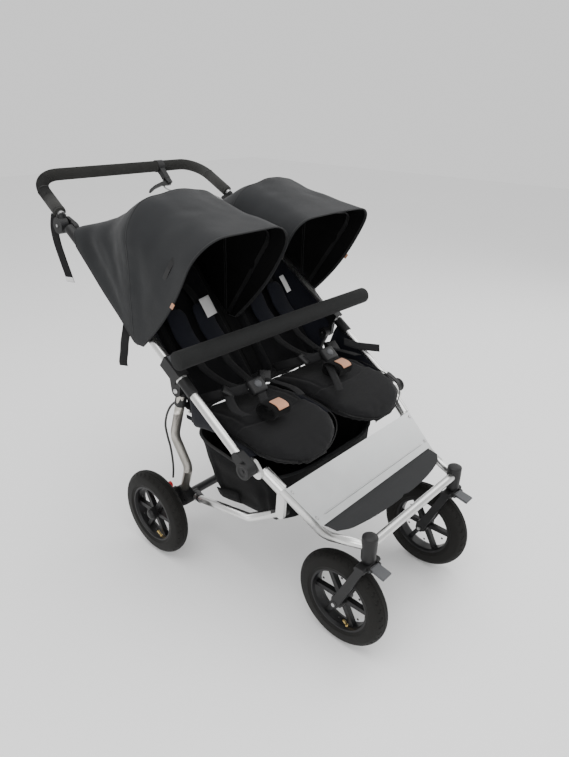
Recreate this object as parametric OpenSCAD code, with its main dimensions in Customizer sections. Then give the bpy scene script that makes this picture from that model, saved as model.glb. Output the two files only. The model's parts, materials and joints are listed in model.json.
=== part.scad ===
// Side-by-side twin pushchair: four air wheels, two seats, two hoods, folding frame.
// Millimetres. +Z up, the children face -Y, the right-hand child sits at -X.
// Heights are from the floor and y is from half way between the axles; placed() then
// moves the whole pushchair so that its box is centred on the origin.

/* [Wheels] */
// Outer diameter of the tyres
tyre_d = 254; // [250:1:258]
// Width of the tyres
tyre_w = 47; // [44:1:48]
// Distance between the front and the rear axle
wheelbase = 600; // [590:5:610]
// Middle of a rear wheel from the centre line
rear_track = 294.6; // [293:0.2:297]
// Middle of a front wheel from the centre line
front_track = 195; // [192:1:196]
// Spokes in each rim
spokes = 6; // [5:1:8]

/* [Frame] */
// Outer diameter of the frame tubes
tube_d = 22; // [20:0.5:22]
// Wall of the frame tubes
tube_wall = 1.6; // [1.2:0.1:2.5]
// Middle of a side rail from the centre line
rail_x = 305; // [304:0.5:306]
// Outer diameter of the rear legs
leg_d = 25; // [22:0.5:25]
// Diameter of the pivot pins
pin_d = 8; // [6:0.5:8]

/* [Handlebar] */
// Outer diameter of the handlebar foam
grip_d = 33; // [30:1:34]
// Outer diameter of the foam on the bumper bar
bumper_d = 45; // [40:1:46]
// Length of the bumper bar
bumper_l = 716; // [700:2:720]

/* [Seats and hoods] */
// Width of one seat pad
seat_w = 278; // [270:1:280]
// Thickness of a seat pad
seat_t = 36; // [30:1:38]
// Length of a backrest from its hinge
back_l = 480; // [460:5:490]
// Width of one hood
hood_w = 317; // [316:0.5:318]
// Thickness of the hood cloth with its lining
cloth_t = 4; // [3:0.5:4]

/* [Hidden] */
$fn = 48;

wheel_r = tyre_d / 2;
ring_r = wheel_r - tyre_w / 2;      // centre of the tyre's section
rear_y = wheelbase / 2;
front_y = -wheelbase / 2;
// foam of the handlebar: its lower end and the corner above it
grip_low = [-303, 603, 934];
grip_corner = [-291, 752, 1018];
// middle of the whole box: from the front tyres to the brake bracket's ring
y_mid = (grip_corner.y + grip_d / 2 + 2 + front_y - wheel_r) / 2;
running = 0.1;                      // extra diameter of a bore that turns on its pin
gap = 0.4;                          // side gap between parts that turn past each other

// pivots, as [y, z]
fold_at = [-92, 452];               // front frame on the side rails
leg_at = [160, 565];                // rear legs on the joint blocks
base_at = [262, 146];               // base tubes on the axle blocks
handle_at = [604, 908];             // handlebar on its sockets
recline_at = [160, 492];            // backrests
hood_at = [285, 664];               // hood bows
caster_y = -363;                    // swivel axis of the front wheels
crown_z = 268;                      // top of the forks

// the side rails run straight up from the fold pivots, as [y, z]
rail_slope = 34.4;
rail_end = 560;                     // y of a rail's upper end
function rail_z(y) = fold_at.y + (y - fold_at.x) * tan(rail_slope);
rail_low = [fold_at.x + 14, rail_z(fold_at.x + 14)];
rail_top = [rail_end, rail_z(rail_end)];

plate_slope = 36.3;                 // slope of the footplate and of the tubes under it
plate_top = [-169, 410.2];          // underside of the footplate's rear edge
plate_l = 115;
plate_half_top = 264;
plate_half_low = 241.5;

// brake cable from the lever along the handlebar to the left socket, one point a bend
cable_route = [
  [128, 724, 978], [118, 706.5, 959], [124, 676, 950], [150, 648, 946], [190, 628, 944],
  [228, 616, 936], [258, 608, 924], [276, 604, 912]
];
cable_d = 5;

// hood sections: [foot, top, corner radius], foot and top as [y, z]
hood_back = [[516, 866], [524, 914], 38];
hood_middle = [[290, 660], [282, 1024], 95];
hood_front = [[268, 664], [75, 946], 85];

function unit(v) = v / norm(v);
function mix(a, b, t) = a + (b - a) * t;
function at_x(x, p) = [x, p.x, p.y];

module placed() { translate([0, -y_mid, 0]) children(); }

// turns +Z to the direction from a to b and moves the origin to a
module from_to(a, b) {
  d = b - a;
  translate(a) rotate([0, acos(d.z / norm(d)), atan2(d.y, d.x)]) children();
}
module rod(a, b, d) { from_to(a, b) cylinder(h = norm(b - a), d = d); }
module pipe(a, b, d, wall) {
  from_to(a, b) linear_extrude(norm(b - a)) ring(d, wall);
}
module ring(d, wall) {
  difference() {
    circle(d = d);
    circle(d = d - 2 * wall);
  }
}
// a round bar along X between two distances from the centre line
module xrod(x0, x1, p, d) { translate([x0, p.x, p.y]) rotate([0, 90, 0]) cylinder(h = x1 - x0, d = d); }
module both() {
  children();
  mirror([1, 0, 0]) children();
}
module on_left() { mirror([1, 0, 0]) children(); }

function heading(p, i) = unit(p[i + 1] - p[i]);
bend_steps = 7;
// points and directions along a tube with a bend of the given radius at each inner corner
function tube_path(p, radius) = concat(
  [[p[0], heading(p, 0)]],
  [for (i = [1:len(p) - 2])
    let (d1 = heading(p, i - 1), d2 = heading(p, i), turn = acos(d1 * d2))
    let (out = -unit(d2 - (d2 * d1) * d1))
    let (c = p[i] - radius * tan(turn / 2) * d1 - radius * out)
      for (k = [0:bend_steps]) let (a = turn * k / bend_steps)
        [c + radius * (cos(a) * out + sin(a) * d1), cos(a) * d1 - sin(a) * out]],
  [[p[len(p) - 1], heading(p, len(p) - 2)]]
);
tube_sides = 24;
function rings(path, r, ref) = [
  for (q = path) let (u = unit(cross(q[1], ref)), v = cross(q[1], u))
    for (k = [0:tube_sides - 1]) let (a = k * 360 / tube_sides) q[0] + r * (cos(a) * u + sin(a) * v)
];
// a bent tube through the corner points p; ref is a direction that no part of it follows
module bent_tube(p, radius, d, wall, ref) {
  path = tube_path(p, radius);
  m = tube_sides;
  o = len(path) * m;
  e = (len(path) - 1) * m;
  polyhedron(concat(rings(path, d / 2, ref), rings(path, d / 2 - wall, ref)), concat(
    [for (i = [0:len(path) - 2], k = [0:m - 1]) let (a = i * m + k, b = i * m + (k + 1) % m) [a, a + m, b + m, b]],
    [for (i = [0:len(path) - 2], k = [0:m - 1]) let (a = o + i * m + k, b = o + i * m + (k + 1) % m) [a, b, b + m, a + m]],
    [for (k = [0:m - 1]) [k, (k + 1) % m, o + (k + 1) % m, o + k]],
    [for (k = [0:m - 1]) [e + (k + 1) % m, e + k, o + e + k, o + e + (k + 1) % m]]
  ));
}

// a flat plate in the YZ plane between x0 and x1, round the given [y, z, diameter] discs
module link(x0, x1, discs) {
  translate([x0, 0, 0]) rotate([90, 0, 90]) linear_extrude(x1 - x0)
    hull() for (c = discs) translate([c[0], c[1]]) circle(d = c[2], $fn = 32);
}
// an extruded outline given in [y, z]
module slab(x0, x1, outline) {
  translate([x0, 0, 0]) rotate([90, 0, 90]) linear_extrude(x1 - x0) polygon(outline);
}

// ---- wheels, drawn about the X axis at the origin
bead_r = 84;                        // where the tyre sits on the rim
rim_half = 19;                      // half the width of the rim at the tyre
hub_half = 22;
axle_d = 10;
module about_x() { rotate([0, 90, 0]) children(); }
module tyre() {
  about_x() rotate_extrude($fn = 96) difference() {
    translate([ring_r, 0]) circle(d = tyre_w, $fn = 40);
    translate([ring_r, 0]) circle(d = tyre_w - 9, $fn = 40);
    translate([0, -rim_half]) square([bead_r, 2 * rim_half]);
  }
}
module rim() {
  difference() {
    about_x() union() {
      rotate_extrude($fn = 96) polygon([
        [76, -12], [79, -rim_half], [bead_r, -rim_half], [bead_r, -15], [81, -12],
        [81, 12], [bead_r, 15], [bead_r, rim_half], [79, rim_half], [76, 12]
      ]);
      cylinder(h = 2 * hub_half, d = 34, center = true);
      for (i = [0:spokes - 1]) rotate([0, 0, (i + 0.5) * 360 / spokes])
        translate([0, 0, -7]) linear_extrude(14)
          polygon([[14, -7], [78, -5.5], [78, 5.5], [14, 7]]);
    }
    about_x() cylinder(h = 100, d = axle_d + running, center = true);
  }
}
module front_wheel_place() { translate([-front_track, front_y, wheel_r]) children(); }
module rear_wheel_place() { translate([-rear_track, rear_y, wheel_r]) children(); }

module tyre_front_right() { color("#1c1d1e") placed() front_wheel_place() tyre(); }
module tyre_front_left() { color("#1c1d1e") placed() on_left() front_wheel_place() tyre(); }
module tyre_rear_right() { color("#1c1d1e") placed() rear_wheel_place() tyre(); }
module tyre_rear_left() { color("#1c1d1e") placed() on_left() rear_wheel_place() tyre(); }
module rim_front_right() { color("#141516") placed() front_wheel_place() rim(); }
module rim_front_left() { color("#141516") placed() on_left() front_wheel_place() rim(); }
module rim_rear_right() { color("#141516") placed() rear_wheel_place() rim(); }
module rim_rear_left() { color("#141516") placed() on_left() rear_wheel_place() rim(); }

// ---- casters
fork_in = 25.5;                     // inside of a fork arm from the wheel's middle
fork_out = 33;
stem_d = 14;
module fork() {
  hub = [front_y, wheel_r];
  difference() {
    union() {
      for (s = [-1, 1]) link(
        -front_track + (s < 0 ? -fork_out : fork_in), -front_track + (s < 0 ? -fork_in : fork_out),
        [[hub.x, hub.y, 24], [caster_y + 4, crown_z - 10, 20]]
      );
      link(-front_track - fork_out, -front_track + fork_out, [
        [caster_y - 6, crown_z - 2, 14], [caster_y + 9, crown_z - 2, 14]
      ]);
      translate([-front_track, caster_y, crown_z]) cylinder(h = 58, d = stem_d);
      for (s = [-1, 1]) link(-front_track + s * 17.7 - 2.2, -front_track + s * 17.7 + 2.2, [
        [caster_y - 5, crown_z - 2, 13], [lock_at.x, lock_at.y, 9]
      ]);
    }
    xrod(-front_track - 60, -front_track + 60, hub, axle_d);
    xrod(-front_track - 60, -front_track + 60, lock_at, 4 + running);
  }
}
lock_at = [caster_y - 19, crown_z - 1];
module fork_right() { color("#1a1b1c") placed() fork(); }
module fork_left() { color("#1a1b1c") placed() on_left() fork(); }
module front_axle() { xrod(-front_track - 38, -front_track + 38, [front_y, wheel_r], axle_d); }
module front_axle_right() { color("#8a8c8e") placed() front_axle(); }
module front_axle_left() { color("#8a8c8e") placed() on_left() front_axle(); }

housing_z = crown_z + 8;            // bottom of a caster housing
lug_z = 300;
module housing() {
  difference() {
    translate([-front_track, caster_y, housing_z]) rotate_extrude() polygon([
      [0, 0], [15, 0], [17.5, 8], [18.5, 40], [18.5, 62], [16.5, 67], [0, 67]
    ]);
    translate([-front_track, caster_y, housing_z - 1]) cylinder(h = 53, d = stem_d + running);
  }
}
module caster_housings() { color("#202122") placed() both() housing(); }

module swivel_lock() {
  translate([-front_track, 0, 0]) {
    link(-15, 15, [[lock_at.x, lock_at.y, 8], [lock_at.x - 8, lock_at.y - 1, 6]]);
    link(-15, 15, [[lock_at.x - 8, lock_at.y - 1, 6], [lock_at.x - 32, lock_at.y - 6, 7]]);
    xrod(-19.5, 19.5, lock_at, 4);
  }
}
module swivel_lock_right() { color("#2b2c2e") placed() swivel_lock(); }
module swivel_lock_left() { color("#2b2c2e") placed() on_left() swivel_lock(); }

// ---- front frame
front_top = [-273, -108, 441];
front_corner = [-238, -270, 322];
front_end = [-front_track - 5.5, caster_y + 12, 318];
front_bar_z = 318;
module front_tubes() {
  color("#c9cbcc") placed() both()
    bent_tube([front_top, front_corner, front_end], 60, tube_d, tube_wall, [1, 0, 0]);
}
module front_crossbar() {
  color("#c9cbcc") placed()
    pipe([-front_track + 14, caster_y, front_bar_z], [front_track - 14, caster_y, front_bar_z], tube_d, tube_wall);
}

module plate_plane() { translate([0, plate_top.x, plate_top.y]) rotate([plate_slope, 0, 0]) children(); }
screw_at = [[plate_half_top - 12, -14], [plate_half_low - 4, -plate_l + 22]];
module footplate() {
  color("#c4c6c8") placed() plate_plane() difference() {
    union() {
      linear_extrude(2) polygon([
        [-plate_half_top, 0], [plate_half_top, 0],
        [plate_half_low, -plate_l], [-plate_half_low, -plate_l]
      ]);
      // turned-down lip along the rear edge, and the stiffening bead near the front one
      translate([-plate_half_top + 24, -2, -9]) cube([2 * plate_half_top - 48, 2, 9]);
      translate([-plate_half_low + 28, -plate_l + 20, 2]) rotate([0, 90, 0])
        cylinder(h = 2 * plate_half_low - 56, d = 4);
    }
    both() for (p = screw_at) translate([p.x, p.y, -5]) cylinder(h = 20, d = 5);
  }
}
module footplate_screws() {
  color("#9a9c9e") placed() plate_plane() both() for (p = screw_at) translate([p.x, p.y, 0]) {
    cylinder(h = 2, d = 5);
    translate([0, 0, 2]) cylinder(h = 2.4, d1 = 10, d2 = 7);
  }
}
flap_z = plate_top.y - plate_l * sin(plate_slope) - 3.2;
flap_y = plate_top.x - plate_l * cos(plate_slope) + 2;
module footplate_flap() {
  color("#3a3b3d") placed() translate([0, flap_y, flap_z]) linear_extrude(3) polygon([
    [-232, 0], [232, 0], [226, -30], [196, -44], [150, -58], [70, -70], [8, -73], [0, -66],
    [-8, -73], [-70, -70], [-150, -58], [-196, -44], [-226, -30]
  ]);
}

// ---- fold hinge: knuckles on the rails turn on pins in the front frame's brackets
knuckle_in = rail_x - 11;
knuckle_out = rail_x + 11;
module bracket() {
  difference() {
    union() {
      link(-knuckle_in + gap, -knuckle_in + 9, [[fold_at.x, fold_at.y, 40], [front_top.y, front_top.z, 30]]);
      from_to(front_top, front_corner) translate([0, 0, 4]) cylinder(h = 60, d = 29);
    }
    from_to(front_top, front_corner) cylinder(h = 80, d = tube_d);
    xrod(-400, -200, fold_at, pin_d);
  }
}
// lug under a front tube, beside the front end of a base tube
module base_lug() { link(-268, -258.5, [[-160, 398, 24], [-156, 336, 24]]); }
module fold_brackets() {
  color("#b4b6b8") placed() both() {
    bracket();
    base_lug();
  }
}
module fold_pins() {
  color("#232425") placed() both() {
    xrod(-knuckle_out - gap, -knuckle_in + 9, fold_at, pin_d);
    xrod(-knuckle_out - 6, -knuckle_out - gap, fold_at, 40);
  }
}
module knuckle() {
  difference() {
    link(-knuckle_out, -knuckle_in, [[fold_at.x, fold_at.y, 38], [fold_at.x + 30, rail_z(fold_at.x + 30), 27]]);
    xrod(-400, -200, fold_at, pin_d + running);
    rail_bore();
  }
}
module fold_knuckles() { color("#232425") placed() both() knuckle(); }

// ---- side rails
module side_rail() { pipe(at_x(-rail_x, rail_low), at_x(-rail_x, rail_top), tube_d, tube_wall); }
module rail_bore() { rod(at_x(-rail_x, rail_low), at_x(-rail_x, rail_top), tube_d); }
module side_rail_right() { color("#c9cbcc") placed() side_rail(); }
module side_rail_left() { color("#c9cbcc") placed() on_left() side_rail(); }
// local frame on a rail: X across, Z along the rail, at a given y
module on_rail(y) { translate([-rail_x, y, rail_z(y)]) rotate([rail_slope - 90, 0, 0]) children(); }
block_in = rail_x - 13;
module joint_block() {
  difference() {
    union() {
      on_rail(160) translate([-15, -17, -32]) cube([30, 34, 64]);
      link(-rail_x, -block_in, [[leg_at.x, leg_at.y, 32], [160, 606, 44]]);
    }
    rail_bore();
    xrod(-400, -200, leg_at, pin_d);
  }
}
module rail_sleeve() {
  difference() {
    on_rail(160) translate([0, 0, -84]) cylinder(h = 51.5, d = 28);
    rail_bore();
  }
}
module joint_blocks() {
  color("#242526") placed() both() {
    joint_block();
    rail_sleeve();
  }
}
hood_pin_d = 5;
// the pins of the legs, the handlebar and the hoods, and the rod that carries the backrests
module pivot_pins() {
  color("#77797b") placed() {
    both() {
      xrod(-rail_x - 1, -leg_x + 12, leg_at, pin_d);
      xrod(-rail_x - 16, -socket_in - 1, handle_at, pin_d);
      xrod(-hood_out + cloth_t + 0.2, -rail_x + 2, hood_at, hood_pin_d);
    }
    xrod(-266, 266, recline_at, pin_d);
  }
}

// hood clip: a ring on the rail with a lug down to the bow's pivot
module hood_clip() {
  difference() {
    union() {
      on_rail(285) translate([0, 0, -13]) cylinder(h = 26, d = 27);
      link(-rail_x - 11, -rail_x + 2, [[hood_at.x, hood_at.y, 18], [285, rail_z(285) - 12, 20]]);
    }
    rail_bore();
    xrod(-400, -200, hood_at, hood_pin_d);
    translate([-rail_x - 31.2, 200, 600]) cube([20, 200, 200]);
  }
}

// ---- bumper bar
bumper_at = [80, 684];
bumper_grip = 306;                  // middle of a bumper bracket from the centre line
module bumper_tube() {
  color("#1b1c1d") placed() pipe(
    [-bumper_l / 2 + 4, bumper_at.x, bumper_at.y], [bumper_l / 2 - 4, bumper_at.x, bumper_at.y], 20, 2
  );
}
module bumper_foam() {
  color("#26282a") placed() difference() {
    xrod(-bumper_l / 2, bumper_l / 2, bumper_at, bumper_d);
    xrod(-bumper_l / 2 + 4, bumper_l / 2 - 4, bumper_at, 20);
    both() bumper_slot();
  }
}
// slot through the foam for the bracket
module bumper_slot() {
  translate([-bumper_grip - 8, bumper_at.x + 6, bumper_at.y - 2]) rotate([-25.1, 0, 0])
    translate([0, -9, -8.5]) cube([16, 40, 17]);
}
module bumper_brackets() {
  color("#242526") placed() both() difference() {
    union() {
      link(-bumper_grip - 7.5, -bumper_grip + 7.5, [[bumper_at.x + 6, bumper_at.y - 2, 16], [150, 652, 16]]);
      link(-bumper_grip - 7.5, -bumper_grip + 7.5, [[150, 652, 16], [166, 648, 22]]);
    }
    xrod(-400, 400, bumper_at, 20);
    on_rail(160) translate([-15, -17, -32]) cube([30, 34, 64]);
  }
}

// ---- handlebar
socket_in = rail_x - 22;
module handle_socket() {
  difference() {
    union() {
      from_to([-rail_x, 526, rail_z(526)], at_x(-rail_x, rail_top)) cylinder(h = 52, d = 27);
      link(-rail_x + 9, -socket_in, [[handle_at.x, handle_at.y, 42], [568, rail_z(568), 26]]);
    }
    rail_bore();
    xrod(-400, -200, handle_at, pin_d);
    // room for the knuckle
    xrod(-rail_x - 20, -rail_x + 13.2, handle_at, 64);
  }
}
module handle_sockets() { color("#1e1f20") placed() both() handle_socket(); }

grip_points = [grip_low, grip_corner, [-grip_corner.x, grip_corner.y, grip_corner.z], [-grip_low.x, grip_low.y, grip_low.z]];
handle_bend = 78;
module handle_tube() { color("#8a8c8e") placed() bent_tube(grip_points, handle_bend, 20, 2, [0, 0, 1]); }
module handle_foam() {
  color("#2a2b2d") placed() bent_tube([
    mix(grip_low, grip_corner, 0.06), grip_corner, grip_points[2], mix(grip_points[3], grip_points[2], 0.06)
  ], handle_bend, grip_d, (grip_d - 20) / 2, [0, 0, 1]);
}
module handle_knuckle() {
  difference() {
    union() {
      xrod(-rail_x - 14, -rail_x + 9 - gap, handle_at, 44);
      rod([-rail_x, handle_at.x, handle_at.y + 6], grip_low + [0, 3, 2], 26);
    }
    from_to(grip_low, grip_corner) translate([0, 0, 0]) cylinder(h = 40, d = 20);
    xrod(-400, -200, handle_at, pin_d + running);
    // clear of the socket's plate
    xrod(-rail_x + 12.8, -rail_x + 30, handle_at, 100);
  }
}
module handle_knuckles() { color("#1e1f20") placed() both() handle_knuckle(); }

bracket_x = 135;
lever_at = [706, 972];              // pivot of the brake lever, as [y, z]
lever_tilt = atan2(lever_at.y - grip_corner.z, lever_at.x - grip_corner.y) + 180;
// local frame of the lever: X along the bar, Y away from the bar, Z along the pivot
module lever_frame() {
  translate([bracket_x, lever_at.x, lever_at.y]) rotate([lever_tilt + 180, 0, 0]) children();
}
module brake_bracket() {
  color("#1e1f20") placed() difference() {
    union() {
      xrod(bracket_x - 12.6, bracket_x + 12.6, [grip_corner.y, grip_corner.z], grip_d + 4);
      link(bracket_x - 9, bracket_x + 9, [[grip_corner.y - 10, grip_corner.z - 10, 20], [lever_at.x + 8, lever_at.y + 12, 14]]);
      lever_frame() translate([0, -14, 0]) for (s = [-1, 1])
        translate([0, 0, s * 6.5]) cube([18, 40, 4], center = true);
    }
    xrod(bracket_x - 30, bracket_x + 30, [grip_corner.y, grip_corner.z], 20);
    lever_frame() cylinder(h = 40, d = 5 + running, center = true);
    lever_frame() translate([0, 0, 0]) cube([24, 30, 9], center = true);
  }
}
module brake_lever() {
  color("#2a2b2d") placed() lever_frame() {
    difference() {
      linear_extrude(7, center = true) polygon([
        [8, 6], [9, -4], [2, -8], [-30, -2], [-62, 8], [-86, 20], [-92, 28], [-86, 30],
        [-62, 18], [-30, 9], [-4, 10]
      ]);
    }
    cylinder(h = 17.4, d = 5, center = true);
  }
}

// a round cord swept along its points
cord_sides = 8;
function side_of(h) = unit(cross(h, abs(h.z) < 0.9 ? [0, 0, 1] : [1, 0, 0]));
function cord_heading(p, i) = unit(p[min(i + 1, len(p) - 1)] - p[max(i - 1, 0)]);
function smooth(p, n) = [
  for (i = [0:len(p) - 2], k = [0:n - 1])
    let (a = p[max(i - 1, 0)], b = p[i], c = p[i + 1], d = p[min(i + 2, len(p) - 1)], t = k / n)
      0.5 * (2 * b + (c - a) * t + (2 * a - 5 * b + 4 * c - d) * t * t + (3 * b - a - 3 * c + d) * t * t * t),
  p[len(p) - 1]
];
module cord(p, d) {
  q = smooth(p, 4);
  m = cord_sides;
  points = [
    for (i = [0:len(q) - 1]) let (h = cord_heading(q, i), u = side_of(h), v = cross(h, u))
      for (k = [0:m - 1]) q[i] + d / 2 * (cos(k * 360 / m) * u + sin(k * 360 / m) * v)
  ];
  last = (len(q) - 1) * m;
  faces = concat(
    [[for (k = [0:m - 1]) k]],
    [for (i = [0:len(q) - 2], k = [0:m - 1])
      [i * m + k, (i + 1) * m + k, (i + 1) * m + (k + 1) % m, i * m + (k + 1) % m]],
    [[for (k = [m - 1:-1:0]) last + k]]
  );
  polyhedron(points, faces);
}
module brake_cable() { color("#a9abad") placed() cord(cable_route, cable_d); }

// ---- rear legs and axle
leg_x = 282;                        // middle of a leg's top from the centre line
leg_points = [[-leg_x, leg_at.x + 4, leg_at.y - 16], [-266, 228, 398], [-212, 246, 262], [-204, 286, 154]];
leg_bend = 120;
module rear_leg() { bent_tube(leg_points, leg_bend, leg_d, 1.8, [1, 0, 0]); }
module rear_leg_right() { color("#b9bbbc") placed() rear_leg(); }
module rear_leg_left() { color("#b9bbbc") placed() on_left() rear_leg(); }
module leg_collar() {
  difference() {
    union() {
      xrod(-block_in + gap, -leg_x + 13, leg_at, 30);
      from_to([-leg_x, leg_at.x, leg_at.y], leg_points[1]) cylinder(h = 56, d = 30);
    }
    xrod(-400, -200, leg_at, pin_d + running);
    from_to(leg_points[0], leg_points[1]) cylinder(h = 80, d = leg_d);
    translate([-block_in + gap - 40, 100, 500]) cube([40, 200, 120]);
  }
}
module leg_collars() { color("#1e1f20") placed() both() leg_collar(); }

block_x0 = 190;                     // inner face of an axle block
block_x1 = 222;
block_x2 = 262;                     // outer end of its boss
pawl_at = [rear_y - 4, wheel_r + 40];
module axle_block() {
  difference() {
    union() {
      link(-block_x1, -block_x0, [[rear_y, wheel_r, 44], [base_at.x, base_at.y, 30], [286, 165, 32]]);
      link(-block_x1 - 22, -block_x1, [[rear_y, wheel_r, 34], [pawl_at.x, pawl_at.y, 24]]);
      xrod(-block_x2, -block_x1, [rear_y, wheel_r], 34);
    }
    xrod(-400, -100, [rear_y, wheel_r], axle_d);
    xrod(-400, -100, base_at, pin_d);
    xrod(-400, -block_x1 + 8, pawl_at, 12.2);
  }
}
module axle_blocks() { color("#1b1c1d") placed() both() axle_block(); }
module axle_cross_tube() {
  color("#1b1c1d") placed() pipe([-block_x0, rear_y, wheel_r], [block_x0, rear_y, wheel_r], 26, 2);
}
module rear_axles() {
  color("#8a8c8e") placed() both() {
    xrod(-rear_track - 26, -block_x0 - 1, [rear_y, wheel_r], axle_d);
    xrod(-block_x0 - 20, -block_x0 + 22, base_at, pin_d);
  }
}
module brake_pawl() {
  xrod(-block_x2, -block_x1 + 4, pawl_at, 12);
  link(-block_x2 + 2, -block_x1 - 24, [[pawl_at.x, pawl_at.y, 20], [pawl_at.x - 8, pawl_at.y + 36, 18]]);
}
module brake_pawl_right() { color("#c01820") placed() brake_pawl(); }
module brake_pawl_left() { color("#c01820") placed() on_left() brake_pawl(); }

// brake cables down the backs of the legs, one point a bend
leg_cable_route = [
  [-283, 188, 520], [-283, 214, 496], [-281, 236, 462], [-276, 252, 424], [-268, 258, 386],
  [-258, 262, 346], [-248, 270, 300], [-240, 280, 256], [-238, 287, 222]
];
module leg_cables() { color("#151617") placed() both() cord(leg_cable_route, 6); }

// ---- base
base_points = [[-194, 240, 153], [-243, -30, 249], [-249, -140, 322]];
module base_tubes() { color("#c9cbcc") placed() both() bent_tube(base_points, 60, tube_d, tube_wall, [1, 0, 0]); }
module base_end() {
  difference() {
    union() {
      xrod(-block_x0 + gap, -168, base_at, 28);
      rod([-179, base_at.x - 6, base_at.y + 2], mix(base_points[0], base_points[1], 0.1), 26);
    }
    xrod(-400, -100, base_at, pin_d + running);
    translate([-block_x0 + gap - 60, base_at.x - 20, base_at.y - 30]) cube([60, 60, 60]);
  }
  link(-258, -240, [[base_points[2].y + 8, base_points[2].z - 4, 26], [-154, 332, 20]]);
}
module base_ends() { color("#1b1c1d") placed() both() base_end(); }

module basket() {
  color("#1d1e20") placed() difference() {
    hull() {
      translate([-200, -120, 362]) cube([400, 350, 8]);
      translate([-172, -96, 212]) cube([344, 250, 4]);
      translate([-172, 120, 196]) cube([344, 60, 4]);
    }
    hull() {
      translate([-196, -116, 364]) cube([392, 342, 8]);
      translate([-169, -92, 216]) cube([338, 244, 4]);
      translate([-169, 120, 200]) cube([338, 56, 4]);
    }
  }
}

// ---- seats
seat_mid = 145;                     // middle of a seat from the centre line
seat_top = [
  [-164, 466], [-150, 480], [-120, 496], [-60, 514], [20, 524], [90, 515], [140, 502]
];
module seat_pad() {
  x0 = -seat_mid - seat_w / 2;
  intersection() {
    slab(x0, x0 + seat_w, concat(seat_top, [
      for (i = [len(seat_top) - 1:-1:0]) seat_top[i] + [i < 2 ? 3 : 0, i == 0 ? -14 : (i == 1 ? -30 : -seat_t)]
    ]));
    translate([-seat_mid, -80, 400]) linear_extrude(200) hull() {
      for (s = [-1, 1]) {
        translate([s * (seat_w / 2 - 72), -14]) circle(r = 72);
        translate([s * (seat_w / 2 - 5), 215]) circle(r = 5);
      }
    }
  }
}
module seat_pad_right() { color("#1c1d20") placed() seat_pad(); }
module seat_pad_left() { color("#1c1d20") placed() on_left() seat_pad(); }
module seat_sling() {
  color("#141517") placed() slab(-284, 284, concat(
    [for (i = [3:len(seat_top) - 1]) seat_top[i] - [0, seat_t + 0.4]],
    [for (i = [len(seat_top) - 1:-1:3]) seat_top[i] - [0, seat_t + 5]]
  ));
}
back_slope = 51;
back_half = 122;
module backrest() {
  translate([-seat_mid + 8, recline_at.x, recline_at.y]) rotate([back_slope, 0, 0]) difference() {
    union() {
      rotate([0, 90, 0]) cylinder(h = 2 * back_half, r = 13, center = true);
      translate([-back_half, 0, -13]) cube([2 * back_half, back_l, 26]);
    }
    rotate([0, 90, 0]) cylinder(h = 300, d = 8 + running, center = true);
  }
}
module backrest_right() { color("#17181b") placed() backrest(); }
module backrest_left() { color("#17181b") placed() on_left() backrest(); }

// ---- hoods
hood_in = 6;                        // inner wall of a hood from the centre line
hood_out = hood_in + hood_w;
hood_mid = (hood_in + hood_out) / 2;
corner_steps = 6;
// half width w, height h, corner radius r: points [x, height] from one foot to the other
function arch(w, h, r, crown) = concat(
  [[-w, 0], [-w, (h - r) / 2]],
  [for (k = [0:corner_steps]) let (a = 90 * k / corner_steps) [-w + r - r * cos(a), h - r + r * sin(a)]],
  [for (x = [-0.4, 0, 0.4]) [x * (w - r), h + crown * (1 - x * x)]],
  [for (k = [corner_steps:-1:0]) let (a = 90 * k / corner_steps) [w - r + r * cos(a), h - r + r * sin(a)]],
  [[w, (h - r) / 2], [w, 0]]
);
// one section of a hood, t of the way between two of them, set in by t_in
function hood_section(a, b, t, inset, w) =
  let (foot = mix(a[0], b[0], t), top = mix(a[1], b[1], t), r = mix(a[2], b[2], t))
  let (up = unit(top - foot), h = norm(top - foot) - inset)
  [for (p = arch(w / 2 - inset, h, max(r - inset, 2), 8 * r / 95))
    [p.x - hood_mid, foot.x + up.x * p.y, foot.y + up.y * p.y]];
module hood_panel(a, b, steps) {
  outer = [for (i = [0:steps]) each hood_section(a, b, i / steps, 0, hood_w)];
  inner = [for (i = [0:steps]) each hood_section(a, b, i / steps, cloth_t, hood_w)];
  n = len(outer) / (steps + 1);
  o = len(outer);
  quads = concat(
    [for (i = [0:steps - 1], j = [0:n - 2]) [i * n + j, i * n + j + 1, (i + 1) * n + j + 1, (i + 1) * n + j]],
    [for (i = [0:steps - 1], j = [0:n - 2]) [o + i * n + j, o + (i + 1) * n + j, o + (i + 1) * n + j + 1, o + i * n + j + 1]],
    [for (j = [0:n - 2]) [j, o + j, o + j + 1, j + 1]],
    [for (j = [0:n - 2]) let (e = steps * n) [e + j, e + j + 1, o + e + j + 1, o + e + j]],
    [for (i = [0:steps - 1]) [i * n, (i + 1) * n, o + (i + 1) * n, o + i * n]],
    [for (i = [0:steps - 1]) let (e = n - 1) [i * n + e, o + i * n + e, o + (i + 1) * n + e, (i + 1) * n + e]]
  );
  polyhedron(concat(outer, inner), [for (q = quads) each [[q[0], q[1], q[2]], [q[0], q[2], q[3]]]]);
}
module hood_rear() {
  hood_panel(hood_back, hood_middle, 4);
  hood_clip();
}
module hood_rear_right() { color("#2c2d30") placed() hood_rear(); }
module hood_rear_left() { color("#2c2d30") placed() on_left() hood_rear(); }
module hood_front_panel() { hood_panel([hood_middle[0] - [1, 0], hood_middle[1] - [1, 0], hood_middle[2]], hood_front, 4); }
module hood_front_right() { color("#2c2d30") placed() hood_front_panel(); }
module hood_front_left() { color("#2c2d30") placed() on_left() hood_front_panel(); }

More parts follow.
